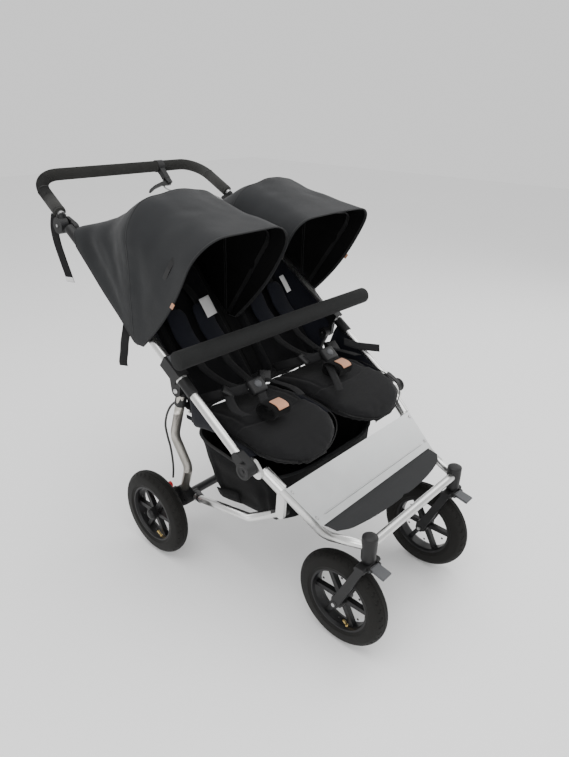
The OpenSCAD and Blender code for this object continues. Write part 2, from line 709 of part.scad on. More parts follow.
bow_inset = cloth_t + 0.4;
bow_t = 2;
bow_w = 12;
module hood_bow() {
  along = unit(hood_front[1] - hood_front[0]);
  // lower than the cloth's edge, because the cloth dips behind it
  bow_h = norm(hood_front[1] - hood_front[0]) - bow_inset - 6.5;
  bow_x = -hood_out + bow_inset;
  // eye on the hood's pin
  difference() {
    link(bow_x - 0.1, bow_x + bow_t - 0.2, [[hood_at.x, hood_at.y, 15], [hood_front[0].x + 13, hood_front[0].y + 14, 14]]);
    xrod(-400, -200, hood_at, hood_pin_d + running);
  }
  translate([-hood_mid, hood_front[0].x, hood_front[0].y])
    multmatrix([[1, 0, 0, 0], [0, along.x, -along.y, 0], [0, along.y, along.x, 0], [0, 0, 0, 1]])
      translate([0, 0, -bow_w - 8]) linear_extrude(bow_w) difference() {
        polygon(arch(hood_w / 2 - bow_inset, bow_h, hood_front[2] - bow_inset, 6));
        polygon(arch(hood_w / 2 - bow_inset - bow_t, bow_h - bow_t, hood_front[2] - bow_inset - bow_t, 6));
      }
}
module hood_bow_right() { color("#111213") placed() hood_bow(); }
module hood_bow_left() { color("#111213") placed() on_left() hood_bow(); }

tyre_front_right();
tyre_front_left();
tyre_rear_right();
tyre_rear_left();
rim_front_right();
rim_front_left();
rim_rear_right();
rim_rear_left();
front_axle_right();
front_axle_left();
fork_right();
fork_left();
swivel_lock_right();
swivel_lock_left();
caster_housings();
front_tubes();
leg_cables();
front_crossbar();
footplate();
footplate_flap();
footplate_screws();
fold_brackets();
fold_pins();
side_rail_right();
side_rail_left();
fold_knuckles();
joint_blocks();
pivot_pins();
bumper_tube();
bumper_foam();
bumper_brackets();
handle_sockets();
handle_tube();
handle_foam();
handle_knuckles();
brake_bracket();
brake_lever();
brake_cable();
rear_leg_right();
rear_leg_left();
leg_collars();
axle_blocks();
axle_cross_tube();
rear_axles();
brake_pawl_right();
brake_pawl_left();
base_tubes();
base_ends();
basket();
seat_sling();
seat_pad_right();
seat_pad_left();
backrest_right();
backrest_left();
hood_rear_right();
hood_rear_left();
hood_front_right();
hood_front_left();
hood_bow_right();
hood_bow_left();
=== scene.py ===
"""Looks of a side-by-side twin pushchair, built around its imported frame.

Places are given in millimetres from the floor, the centre line and the line half way
between the axles; at() turns them into metres in the frame's own axes.
"""
import json
import math

import bmesh
import bpy
from mathutils import Matrix, Vector, noise

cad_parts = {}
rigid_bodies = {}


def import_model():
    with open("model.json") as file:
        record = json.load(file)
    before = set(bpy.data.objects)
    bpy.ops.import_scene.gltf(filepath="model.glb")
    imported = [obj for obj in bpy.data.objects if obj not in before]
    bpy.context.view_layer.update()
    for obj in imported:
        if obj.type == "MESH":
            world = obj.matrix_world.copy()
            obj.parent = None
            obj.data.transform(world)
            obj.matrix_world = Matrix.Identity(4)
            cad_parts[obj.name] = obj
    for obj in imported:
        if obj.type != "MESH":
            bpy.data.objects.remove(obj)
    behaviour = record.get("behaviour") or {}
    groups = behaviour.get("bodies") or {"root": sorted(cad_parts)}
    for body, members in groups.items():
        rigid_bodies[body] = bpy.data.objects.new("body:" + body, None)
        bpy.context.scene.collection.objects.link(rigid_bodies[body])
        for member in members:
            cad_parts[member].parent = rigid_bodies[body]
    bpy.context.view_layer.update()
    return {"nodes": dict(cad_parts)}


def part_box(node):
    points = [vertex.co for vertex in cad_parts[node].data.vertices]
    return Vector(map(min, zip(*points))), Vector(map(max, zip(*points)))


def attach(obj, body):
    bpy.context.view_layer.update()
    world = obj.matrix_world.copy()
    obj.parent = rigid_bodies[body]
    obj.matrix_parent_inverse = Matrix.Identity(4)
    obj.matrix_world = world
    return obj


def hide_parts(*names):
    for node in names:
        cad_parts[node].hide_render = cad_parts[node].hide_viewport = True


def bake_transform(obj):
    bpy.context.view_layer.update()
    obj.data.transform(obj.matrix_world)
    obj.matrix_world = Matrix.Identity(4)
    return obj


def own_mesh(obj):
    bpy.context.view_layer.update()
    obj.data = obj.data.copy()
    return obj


for left_over in list(bpy.data.objects):
    bpy.data.objects.remove(left_over)
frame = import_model()

MM = 0.001
rear_low, rear_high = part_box("tyre_rear_right")
MID_Y = (rear_low.y + rear_high.y) / 2 - 300 * MM
SIDES = (("right", -1), ("left", 1))


def at(x, y, z):
    return Vector((x * MM, y * MM + MID_Y, z * MM))


def mix(a, b, t):
    return a + (b - a) * t


def smooth_step(t):
    t = min(max(t, 0.0), 1.0)
    return t * t * (3 - 2 * t)


def along(table, s):
    """Value at s of a table of (s, value) rows, straight between the rows."""
    for (s0, v0), (s1, v1) in zip(table, table[1:]):
        if s <= s1:
            return mix(v0, v1, max(s - s0, 0) / (s1 - s0))
    return table[-1][1]


# ---------------------------------------------------------------- camera
def make_camera():
    lens = bpy.data.cameras.new("camera")
    lens.sensor_width = 36
    lens.lens = 29.17
    yaw, pitch, roll = 0.729, -0.4317, 0.0156
    ahead = Vector((math.cos(pitch) * math.cos(yaw), math.cos(pitch) * math.sin(yaw), math.sin(pitch)))
    level = ahead.cross(Vector((0, 0, 1))).normalized()
    upward = level.cross(ahead)
    right = math.cos(roll) * level + math.sin(roll) * upward
    top = math.cos(roll) * upward - math.sin(roll) * level
    camera = bpy.data.objects.new("camera", lens)
    camera.matrix_world = Matrix.Translation(at(-1138.4, -943.3, 1229)) @ Matrix((right, top, -ahead)).transposed().to_4x4()
    bpy.context.scene.collection.objects.link(camera)
    bpy.context.scene.camera = camera


make_camera()


# ---------------------------------------------------------------- finishes
class Finish:
    """A node material: a principled shader with a pattern for colour, roughness and relief."""

    def __init__(self, name, metallic=0.0, **sockets):
        self.material = bpy.data.materials.new(name)
        self.material.use_nodes = True
        self.tree = self.material.node_tree
        self.shader = self.tree.nodes["Principled BSDF"]
        self.shader.inputs["Metallic"].default_value = metallic
        for socket, value in sockets.items():
            self.shader.inputs[socket.replace("_", " ")].default_value = value

    def add(self, kind, *inputs, out=0, **settings):
        node = self.tree.nodes.new("ShaderNode" + kind)
        for key, value in settings.items():
            if key in ("Scale", "Detail", "Roughness", "Distortion", "Randomness", "Strength", "Distance"):
                node.inputs[key].default_value = value
            else:
                setattr(node, key, value)
        for i, value in enumerate(inputs):
            if isinstance(value, bpy.types.NodeSocket):
                self.tree.links.new(value, node.inputs[i])
            elif value is not None:
                node.inputs[i].default_value = value
        return node.outputs[out]

    def place(self, kind="Object", turn=(0, 0, 0), scale=(1, 1, 1)):
        mapping = self.tree.nodes.new("ShaderNodeMapping")
        mapping.inputs["Rotation"].default_value = turn
        mapping.inputs["Scale"].default_value = scale
        coords = self.tree.nodes.new("ShaderNodeTexCoord")
        self.tree.links.new(coords.outputs[kind], mapping.inputs[0])
        return mapping.outputs[0]

    def sum(self, a, b, operation="ADD"):
        return self.add("Math", a, b, operation=operation)

    def colour(self, fac, dark, light):
        ramp = self.tree.nodes.new("ShaderNodeValToRGB")
        ramp.color_ramp.elements[0].color = (*dark, 1)
        ramp.color_ramp.elements[1].color = (*light, 1)
        self.tree.links.new(fac, ramp.inputs[0])
        self.tree.links.new(ramp.outputs[0], self.shader.inputs["Base Color"])

    def rough(self, fac, low, high):
        span = self.add("MapRange", fac, 0.0, 1.0, low, high)
        self.tree.links.new(span, self.shader.inputs["Roughness"])

    def relief(self, height, strength, distance):
        bump = self.add("Bump", Strength=strength, Distance=distance)
        self.tree.links.new(height, bump.node.inputs["Height"])
        self.tree.links.new(bump, self.shader.inputs["Normal"])

    def threads(self, place, period):
        """Crossed threads of a plain weave, 0 to 1; period is the width of two threads."""
        rate = 0.31416 / period
        warp = self.add("TexWave", place, Scale=rate, bands_direction="X", out=1)
        weft = self.add("TexWave", place, Scale=rate, bands_direction="Y", out=1)
        return self.sum(warp, weft, "MULTIPLY")


def cloth(name, dark, light, period, kind="UV", turn=(0, 0, 0), relief=0.35, low=0.72, high=0.95, sheen=0.25):
    f = Finish(name, Sheen_Weight=sheen, Sheen_Roughness=0.5, Specular_IOR_Level=0.12)
    place = f.place(kind, turn)
    weave = f.threads(place, period)
    fade = f.add("TexNoise", f.place("Object"), Scale=9.0, Detail=4.0)
    slub = f.add("TexNoise", f.place(kind, turn, (1, 0.12, 1)), Scale=420.0, Detail=2.0)
    tone = f.sum(f.sum(fade, 0.6, "MULTIPLY"), f.sum(f.sum(weave, slub, "MULTIPLY"), 0.55, "MULTIPLY"))
    f.colour(tone, dark, light)
    f.rough(fade, low, high)
    f.relief(f.sum(weave, f.sum(slub, 0.35, "MULTIPLY")), relief, period * 0.3)
    return f.material


def moulded(name, dark, light, low=0.38, high=0.6, grain=1400.0, relief=0.12, coat=0.0):
    f = Finish(name, Coat_Weight=coat, Coat_Roughness=0.25, Specular_IOR_Level=0.3)
    place = f.place("Object")
    grit = f.add("TexNoise", place, Scale=grain, Detail=3.0)
    wear = f.add("TexNoise", place, Scale=26.0, Detail=5.0)
    f.colour(f.sum(f.sum(grit, 0.4, "MULTIPLY"), f.sum(wear, 0.6, "MULTIPLY")), dark, light)
    f.rough(wear, low, high)
    f.relief(grit, relief, 0.0004)
    return f.material


def metal(name, dark, light, low, high, stretch=(1, 1, 1), turn=(0, 0, 0), relief=0.05, grain=900.0):
    f = Finish(name, metallic=1.0)
    streaks = f.add("TexNoise", f.place("Object", turn, stretch), Scale=grain, Detail=3.0)
    cloud = f.add("TexNoise", f.place("Object"), Scale=14.0, Detail=4.0)
    f.colour(f.sum(f.sum(streaks, 0.35, "MULTIPLY"), f.sum(cloud, 0.65, "MULTIPLY")), dark, light)
    f.rough(f.sum(f.sum(streaks, 0.5, "MULTIPLY"), f.sum(cloud, 0.5, "MULTIPLY")), low, high)
    f.relief(streaks, relief, 0.0002)
    return f.material


def cellular(name, dark, light, grain=650.0, relief=0.35, low=0.75, high=0.95):
    """Closed-cell foam or rubber: a pebbled skin."""
    f = Finish(name, Specular_IOR_Level=0.14, Sheen_Weight=0.03)
    place = f.place("Object")
    cells = f.add("TexVoronoi", place, Scale=grain)
    scuff = f.add("TexNoise", place, Scale=30.0, Detail=6.0)
    f.colour(f.sum(f.sum(cells, 0.5, "MULTIPLY"), f.sum(scuff, 0.6, "MULTIPLY")), dark, light)
    f.rough(scuff, low, high)
    f.relief(cells, relief, 0.0005)
    return f.material


def webbing(name, dark, light, rib=0.0016, relief=0.6):
    """Woven strap: ribs across it, from its own map in metres."""
    f = Finish(name, Sheen_Weight=0.04, Specular_IOR_Level=0.2)
    place = f.place("UV")
    ribs = f.add("TexWave", place, Scale=0.31416 / rib, bands_direction="Y", out=1)
    cord = f.add("TexWave", place, Scale=0.31416 / (rib * 1.7), bands_direction="X", out=1)
    wear = f.add("TexNoise", f.place("Object"), Scale=60.0, Detail=4.0)
    height = f.sum(ribs, f.sum(cord, 0.4, "MULTIPLY"))
    f.colour(f.sum(f.sum(height, 0.4, "MULTIPLY"), f.sum(wear, 0.4, "MULTIPLY")), dark, light)
    f.rough(wear, 0.55, 0.8)
    f.relief(height, relief, 0.0004)
    return f.material


aluminium = metal("satin_aluminium", (0.56, 0.56, 0.55), (0.78, 0.78, 0.77), 0.2, 0.36)
leg_aluminium = metal("leg_aluminium", (0.40, 0.38, 0.34), (0.58, 0.56, 0.52), 0.3, 0.45)
plate_aluminium = metal("brushed_plate", (0.44, 0.45, 0.45), (0.60, 0.61, 0.61), 0.26, 0.42, (0.03, 1, 1), relief=0.1)
zinc = metal("zinc_steel", (0.36, 0.36, 0.36), (0.6, 0.6, 0.6), 0.25, 0.45)
brass = metal("brass", (0.55, 0.38, 0.12), (0.8, 0.6, 0.25), 0.2, 0.35)
black_tube = moulded("black_lacquer", (0.012, 0.012, 0.013), (0.028, 0.028, 0.03), 0.25, 0.4, relief=0.03, coat=0.4)
nylon = moulded("black_nylon", (0.004, 0.004, 0.0043), (0.013, 0.013, 0.0135))
rim_nylon = moulded("rim_nylon", (0.003, 0.003, 0.0033), (0.010, 0.010, 0.0105), 0.3, 0.5)
grey_nylon = moulded("grey_nylon", (0.05, 0.052, 0.056), (0.085, 0.087, 0.092), 0.4, 0.6)
red_nylon = moulded("red_nylon", (0.42, 0.012, 0.016), (0.62, 0.025, 0.03), 0.25, 0.45, coat=0.3)
clear_grey = moulded("clear_grey_sheath", (0.22, 0.22, 0.22), (0.42, 0.42, 0.42), 0.25, 0.45, relief=0.05)
cable_black = moulded("black_sheath", (0.012, 0.012, 0.012), (0.03, 0.03, 0.03), 0.35, 0.55)
grip = cellular("grip_foam", (0.014, 0.014, 0.0132), (0.04, 0.04, 0.038))
bumper_skin = cellular("bumper_foam_skin", (0.006, 0.0062, 0.0062), (0.018, 0.0185, 0.0185))
tyre_rubber = cellular("tyre_rubber", (0.0035, 0.0034, 0.0031), (0.0125, 0.012, 0.011), 420.0, 0.15, 0.55, 0.8)
flap_rubber = cellular("flap_rubber", (0.014, 0.0145, 0.015), (0.028, 0.0285, 0.0295), 900.0, 0.2, 0.6, 0.8)
hood_cloth = cloth("hood_cloth", (0.0085, 0.009, 0.0098), (0.026, 0.0272, 0.029), 0.0011, sheen=0.1)
hood_lining = cloth("hood_lining", (0.001, 0.001, 0.001), (0.004, 0.004, 0.0045), 0.0011, sheen=0.0)
binding = cloth("edge_binding", (0.006, 0.0062, 0.0066), (0.026, 0.027, 0.0285), 0.0022, relief=0.8, sheen=0.08)
seat_knit = cloth("seat_knit", (0.003, 0.003, 0.0033), (0.014, 0.014, 0.015), 0.0016, "Object", relief=0.5, sheen=0.06)
back_knit = cloth("back_knit", (0.002, 0.002, 0.0023), (0.009, 0.009, 0.0105), 0.0016, "Object", (math.radians(-51), 0, 0), 0.5, sheen=0.04)
navy_cloth = cloth("navy_cloth", (0.0025, 0.0028, 0.0045), (0.010, 0.011, 0.0175), 0.0012, sheen=0.06)
navy_pad = cloth("navy_pad", (0.004, 0.0044, 0.007), (0.015, 0.0165, 0.025), 0.0014, "Object", (math.radians(-51), 0, 0), sheen=0.08)
black_cloth = cloth("black_cloth", (0.0012, 0.0012, 0.0013), (0.006, 0.006, 0.0065), 0.0012, sheen=0.03)
strap_black = webbing("black_webbing", (0.002, 0.002, 0.0022), (0.012, 0.012, 0.013))
label_white = cloth("care_label", (0.5, 0.5, 0.5), (0.85, 0.85, 0.85), 0.0007, relief=0.2)
copper_patch = cloth("copper_patch", (0.28, 0.12, 0.06), (0.8, 0.42, 0.26), 0.003, relief=0.9, low=0.35, high=0.6)


# ---------------------------------------------------------------- making pieces
def piece(name, bm, material, body=None, sharp=40, recalc=True):
    """Turns a bmesh into an object in the scene, smooth but for its sharp edges."""
    if recalc:
        bmesh.ops.recalc_face_normals(bm, faces=bm.faces[:])
    mesh = bpy.data.meshes.new(name)
    bm.to_mesh(mesh)
    bm.free()
    mesh.materials.append(material)
    for polygon in mesh.polygons:
        polygon.use_smooth = True
    if sharp:
        mesh.set_sharp_from_angle(angle=math.radians(sharp))
    made = bpy.data.objects.new(name, mesh)
    bpy.context.scene.collection.objects.link(made)
    if body:
        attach(made, body)
    return made


def round_path(points, radius, steps=10):
    """The corner points with an arc of the given radius at each inner corner."""
    out = [points[0]]
    for a, b, c in zip(points, points[1:], points[2:]):
        d1, d2 = (b - a).normalized(), (c - b).normalized()
        turn = d1.angle(d2)
        side = (d2 - d1 * d2.dot(d1)).normalized()
        start = b - d1 * radius * math.tan(turn / 2)
        for k in range(steps + 1):
            t = turn * k / steps
            out.append(start + d1 * radius * math.sin(t) + side * radius * (1 - math.cos(t)))
    out.append(points[-1])
    return out


def soft_path(points, steps=8):
    """A smooth curve through the points."""
    out = []
    for i in range(len(points) - 1):
        a, b, c, d = points[max(i - 1, 0)], points[i], points[i + 1], points[min(i + 2, len(points) - 1)]
        for k in range(steps):
            t = k / steps
            out.append(0.5 * (2 * b + (c - a) * t + (2 * a - 5 * b + 4 * c - d) * t * t + (3 * b - a - 3 * c + d) * t ** 3))
    return out + [points[-1]]


def line_curve(name, points, radius, material, resolution=5):
    data = bpy.data.curves.new(name, "CURVE")
    data.dimensions = "3D"
    data.bevel_depth = radius
    data.bevel_resolution = resolution
    data.use_fill_caps = True
    spline = data.splines.new("POLY")
    spline.points.add(len(points) - 1)
    for p, co in zip(spline.points, points):
        p.co = (*co, 1)
    data.materials.append(material)
    made = bpy.data.objects.new(name, data)
    bpy.context.scene.collection.objects.link(made)
    return made


def tube(name, points, radius, material, body, sides=24, wall=0.0):
    """A round tube swept along points: a disc extruded step by step, its end rounded off."""
    bm = bmesh.new()
    heading = (points[1] - points[0]).normalized()
    turn = heading.to_track_quat("Z", "Y").to_matrix().to_4x4()
    disc = bmesh.ops.create_circle(bm, cap_ends=True, segments=sides, radius=radius, matrix=Matrix.Translation(points[0]) @ turn)
    faces = list({f for v in disc["verts"] for f in v.link_faces})
    for i in range(1, len(points)):
        nxt = (points[min(i + 1, len(points) - 1)] - points[i - 1]).normalized()
        grown = bmesh.ops.extrude_face_region(bm, geom=faces)["geom"]
        faces = [g for g in grown if isinstance(g, bmesh.types.BMFace)]
        verts = [g for g in grown if isinstance(g, bmesh.types.BMVert)]
        spin = heading.rotation_difference(nxt).to_matrix()
        for v in verts:
            v.co = points[i] + spin @ (v.co - points[i - 1])
        heading = nxt
    ends = [f for f in bm.faces if len(f.verts) > 4]
    if wall:
        bmesh.ops.inset_region(bm, faces=ends, thickness=wall, depth=-wall)
    else:
        bmesh.ops.inset_region(bm, faces=ends, thickness=radius * 0.2, depth=radius * 0.08)
    bmesh.ops.remove_doubles(bm, verts=bm.verts[:], dist=1e-6)
    return piece(name, bm, material, body)


def loft(name, sections, material, body=None, closed=False, cap=False, sharp=0):
    """A skin through sections, each the same number of points, with a map in metres."""
    bm = bmesh.new()
    layer = bm.loops.layers.uv.new("UVMap")
    row = [bm.verts.new(p) for p in sections[0]]
    n = len(row)
    chain = [bm.edges.new((row[i], row[(i + 1) % n])) for i in range(n if closed else n - 1)]
    where = {}
    run = 0.0

    def note(verts, points):
        across = 0.0
        for i, v in enumerate(verts):
            across += (points[i] - points[i - 1]).length if i else 0
            where[v] = (across, run)

    note(row, sections[0])
    for last, nxt in zip(sections, sections[1:]):
        run += sum((a - b).length for a, b in zip(last, nxt)) / n
        grown = bmesh.ops.extrude_edge_only(bm, edges=chain)["geom"]
        fresh = [g for g in grown if isinstance(g, bmesh.types.BMVert)]
        new_row = [next(e.other_vert(v) for e in v.link_edges if e.other_vert(v) in fresh) for v in row]
        for v, p in zip(new_row, nxt):
            v.co = p
        note(new_row, nxt)
        row = new_row
        chain = [bm.edges.get((row[i], row[(i + 1) % n])) for i in range(n if closed else n - 1)]
    if cap:
        lid = bmesh.ops.contextual_create(bm, geom=chain)["faces"]
        bmesh.ops.inset_region(bm, faces=lid, thickness=0.02)
    for f in bm.faces:
        for loop in f.loops:
            loop[layer].uv = where.get(loop.vert, (loop.vert.co.x, loop.vert.co.y))
    return piece(name, bm, material, body, sharp)


def thicken(obj, thickness, offset=0.0, levels=0, inner=None):
    solid = obj.modifiers.new("thickness", "SOLIDIFY")
    solid.thickness = thickness
    solid.offset = offset
    if inner:
        obj.data.materials.append(inner)
        solid.material_offset = 1
        solid.material_offset_rim = 0
    if levels:
        fine = obj.modifiers.new("rounding", "SUBSURF")
        fine.levels = fine.render_levels = levels
    return obj


def settle(obj):
    """Applies the modifiers, so that the mesh is final."""
    graph = bpy.context.evaluated_depsgraph_get()
    mesh = bpy.data.meshes.new_from_object(obj.evaluated_get(graph))
    old = obj.data
    obj.modifiers.clear()
    obj.data = mesh
    mesh.name = obj.name
    bpy.data.meshes.remove(old)
    return obj


def ribbon(name, points, width, across, material, body=None, thick=1.4):
    """A flat strap along points; across is its width's direction, or one for each point."""
    rows = []
    for i, p in enumerate(points):
        a = across[i] if isinstance(across, list) else across
        a = a.normalized() * width * MM / 2
        rows.append([p - a, p - a * 0.34, p + a * 0.34, p + a])
    made = loft(name, rows, material)
    thicken(made, thick * MM)
    edge = made.modifiers.new("edge", "BEVEL")
    edge.width = 0.35 * MM
    edge.segments = 1
    if body:
        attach(made, body)
    return made


def rounded_block(name, size, radius, material, place, body=None, segments=3, taper=1.0):
    """A moulded block: a cube scaled, tapered and bevelled, then put in place."""
    bm = bmesh.new()
    bmesh.ops.create_cube(bm, size=1.0)
    for v in bm.verts:
        k = taper if v.co.z > 0 else 1
        v.co = Vector((v.co.x * size[0] * k, v.co.y * size[1] * k, v.co.z * size[2])) * MM
    bmesh.ops.bevel(bm, geom=bm.edges[:], offset=radius * MM, affect="EDGES", segments=segments, profile=0.5, material=-1)
    bmesh.ops.transform(bm, matrix=place, verts=bm.verts[:])
    return piece(name, bm, material, body)


def turned(name, outline, material, place, body=None, steps=48):
    """A turned part: its outline in (radius, height) spun about Z, then put in place."""
    bm = bmesh.new()
    verts = [bm.verts.new((r * MM, 0, h * MM)) for r, h in outline]
    edges = [bm.edges.new(pair) for pair in zip(verts, verts[1:])]
    bmesh.ops.spin(bm, geom=verts + edges, cent=(0, 0, 0), axis=(0, 0, 1), angle=2 * math.pi, steps=steps, use_merge=True)
    bmesh.ops.remove_doubles(bm, verts=bm.verts[:], dist=1e-6)
    bmesh.ops.transform(bm, matrix=place, verts=bm.verts[:])
    return piece(name, bm, material, body)


def facing(place, direction, spin=0.0):
    """A matrix that puts Z along direction at place."""
    turn = direction.to_track_quat("Z", "Y").to_matrix().to_4x4()
    return Matrix.Translation(place) @ turn @ Matrix.Rotation(spin, 4, "Z")


def mirrored(obj, name, body=None):
    """The same piece on the other side of the centre line."""
    bm = bmesh.new()
    bm.from_mesh(obj.data)
    bmesh.ops.scale(bm, vec=(-1, 1, 1), verts=bm.verts[:])
    bmesh.ops.reverse_faces(bm, faces=bm.faces[:])
    mesh = bpy.data.meshes.new(name)
    bm.to_mesh(mesh)
    bm.free()
    for material in obj.data.materials:
        mesh.materials.append(material)
    made = bpy.data.objects.new(name, mesh)
    bpy.context.scene.collection.objects.link(made)
    if body:
        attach(made, body)
    return made


def plump(obj, voxel=5.0, pressure=4.0, cap=10.0):
    """Fills a closed pad with air by cloth simulation, no point moving more than cap, in mm."""
    scene = bpy.context.scene
    remesh = obj.modifiers.new("voxels", "REMESH")
    remesh.mode = "VOXEL"
    remesh.voxel_size = voxel * MM
    settle(obj)
    start = [v.co.copy() for v in obj.data.vertices]
    sim = obj.modifiers.new("air", "CLOTH")
    sim.settings.use_pressure = True
    sim.settings.uniform_pressure_force = pressure
    sim.settings.effector_weights.gravity = 0
    sim.settings.quality = 4
    sim.point_cache.frame_start, sim.point_cache.frame_end = 1, 20
    for step in range(1, 21):
        scene.frame_set(step)
    settle(obj)
    scene.frame_set(1)
    for v, p in zip(obj.data.vertices, start):
        move = v.co - p
        if move.length > cap * MM:
            v.co = p + move.normalized() * cap * MM
    bm = bmesh.new()
    bm.from_mesh(obj.data)
    for _ in range(3):
        bmesh.ops.smooth_vert(bm, verts=bm.verts[:], factor=0.5, use_axis_x=True, use_axis_y=True, use_axis_z=True)
    bm.to_mesh(obj.data)
    bm.free()
    for polygon in obj.data.polygons:
        polygon.use_smooth = True
    return obj


# ---------------------------------------------------------------- cables
def path_length(points):
    return sum((a - b).length for a, b in zip(points, points[1:]))


def cable(name, route, diameter, material, body, node):
    points = soft_path([at(*p) for p in route], 5)
    made = line_curve(name, points, diameter * MM / 2, material, 4)
    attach(made, body)
    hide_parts(node)
    return made


BRAKE_ROUTE = (
    (128, 724, 978), (118, 706.5, 959), (124, 676, 950), (150, 648, 946), (190, 628, 944),
    (228, 616, 936), (258, 608, 924), (276, 604, 912),
)
LEG_ROUTE = (
    (-283, 188, 520), (-283, 214, 496), (-281, 236, 462), (-276, 252, 424), (-268, 258, 386),
    (-258, 262, 346), (-248, 270, 300), (-240, 280, 256), (-238, 287, 222),
)
cable("brake_cable_lever", BRAKE_ROUTE, 5, clear_grey, "handlebar", "brake_cable")
for side, sign in SIDES:
    cable("brake_cable_leg_" + side, [(-sign * x, y, z) for x, y, z in LEG_ROUTE], 6, cable_black, "rear_frame", "leg_cables")


# ---------------------------------------------------------------- smooth bent tubes
FRONT_TUBE = ((-273, -108, 441), (-238, -270, 322), (-200.5, -351, 318))
REAR_LEG = ((-282, 164, 549), (-266, 228, 398), (-212, 246, 262), (-204, 286, 154))
BASE_TUBE = ((-194, 240, 153), (-243, -30, 249), (-249, -140, 322))


def bent_pair(name, corners, radius, bend, material, body, *nodes):
    for side, sign in SIDES:
        points = round_path([at(-sign * x, y, z) for x, y, z in corners], bend * MM)
        made = tube(f"{name}_{side}", points, radius * MM, material, body, 32, 1.6 * MM)
        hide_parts(*(n.replace("SIDE", side) for n in nodes))


bent_pair("front_tube", FRONT_TUBE, 11, 60, aluminium, "front_frame", "front_tubes")
bent_pair("rear_leg_tube", REAR_LEG, 12.5, 120, leg_aluminium, "rear_frame", "rear_leg_SIDE")
bent_pair("base_tube", BASE_TUBE, 11, 60, aluminium, "base_frame", "base_tubes")

GRIP_LOW, GRIP_CORNER = at(-303, 603, 934), at(-291, 752, 1018)


def other_side(p):
    return Vector((-p.x, p.y, p.z))


bar = round_path([GRIP_LOW, GRIP_CORNER, other_side(GRIP_CORNER), other_side(GRIP_LOW)], 78 * MM, 14)
bar_tube = tube("handle_core", bar, 10 * MM, zinc, "handlebar", 24)
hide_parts("handle_tube")
foam_path = [mix(GRIP_LOW, GRIP_CORNER, 0.06)] + bar[1:-1] + [mix(other_side(GRIP_LOW), other_side(GRIP_CORNER), 0.06)]
handle_grip = tube("handle_grip", foam_path, 16.5 * MM, grip, "handlebar", 32)
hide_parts("handle_foam")
for side, sign in SIDES:
    for i, s in enumerate((0.1, 0.62)):
        p = mix(GRIP_LOW, GRIP_CORNER, s)
        d = (GRIP_CORNER - GRIP_LOW).normalized()
        p = Vector((-sign * p.x, p.y, p.z))
        d = Vector((-sign * d.x, d.y, d.z))
        turned(f"grip_ring_{side}_{i}", ((16.2, -1.6), (17.0, -1.2), (17.0, 1.2), (16.2, 1.6)), nylon, facing(p, d), "handlebar")

# bumper bar: foam with rounded ends, a little thinner at its middle
bumper = turned(
    "bumper_grip",
    ((0, -358), (19.8, -358), (21.9, -357.1), (22.5, -355), (22.5, -340), (22.5, -120), (22.3, 0), (22.5, 120), (22.5, 340),
     (22.5, 355), (21.9, 357.1), (19.8, 358), (0, 358)),
    bumper_skin, facing(at(0, 80, 684), Vector((1, 0, 0))), "seat_frame", 56,
)
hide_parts("bumper_foam")


# ---------------------------------------------------------------- wheels
def treaded_tyre(name, node, body):
    """An air tyre: its section spun round, with moulded lines and cut tread."""
    low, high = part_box(node)
    centre = (low + high) / 2
    outline = [(84.5, -17.5), (84.0, -19.5), (88, -20.6), (90.5, -21.2), (91.5, -22.2), (93.5, -22.4), (94.5, -22.2)]
    for k in range(17):
        a = math.radians(-68 + 136 * k / 16)
        outline.append((103.5 + 23.5 * math.cos(a), 23.5 * math.sin(a)))
    outline += [(r, -x) for r, x in reversed(outline[:7])]
    bm = bmesh.new()
    verts = [bm.verts.new((x * MM, 0, r * MM)) for r, x in outline]
    edges = [bm.edges.new(pair) for pair in zip(verts, verts[1:])]
    steps = 144
    bmesh.ops.spin(bm, geom=verts + edges, cent=(0, 0, 0), axis=(1, 0, 0), angle=2 * math.pi, steps=steps, use_merge=True)
    bmesh.ops.remove_doubles(bm, verts=bm.verts[:], dist=1e-6)
    bm.normal_update()
    cuts, lines = [], []
    for f in bm.faces:
        c = f.calc_center_median()
        r = math.hypot(c.y, c.z) / MM
        turn = math.degrees(math.atan2(c.y, c.z)) % 360
        x = abs(c.x) / MM
        sector = int(turn / 2.5)
        if r > 119 and 8.5 < x < 17.5 and (sector + (1 if x > 12.5 else 0) + (2 if c.x > 0 else 0)) % 4 == 0:
            cuts.append(f)
        elif 4.5 < x < 7.6 and r > 120:
            lines.append(f)
    bmesh.ops.recalc_face_normals(bm, faces=bm.faces[:])
    for chosen, deep in ((lines, 1.1), (cuts, 1.5)):
        if chosen:
            bmesh.ops.inset_region(bm, faces=chosen, thickness=0.7 * MM, depth=0)
            for v in {v for f in chosen for v in f.verts}:
                out = Vector((0, v.co.y, v.co.z)).normalized()
                v.co -= out * deep * MM
    bmesh.ops.translate(bm, vec=centre, verts=bm.verts[:])
    made = piece(name, bm, tyre_rubber, body, 32)
    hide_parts(node)
    return centre


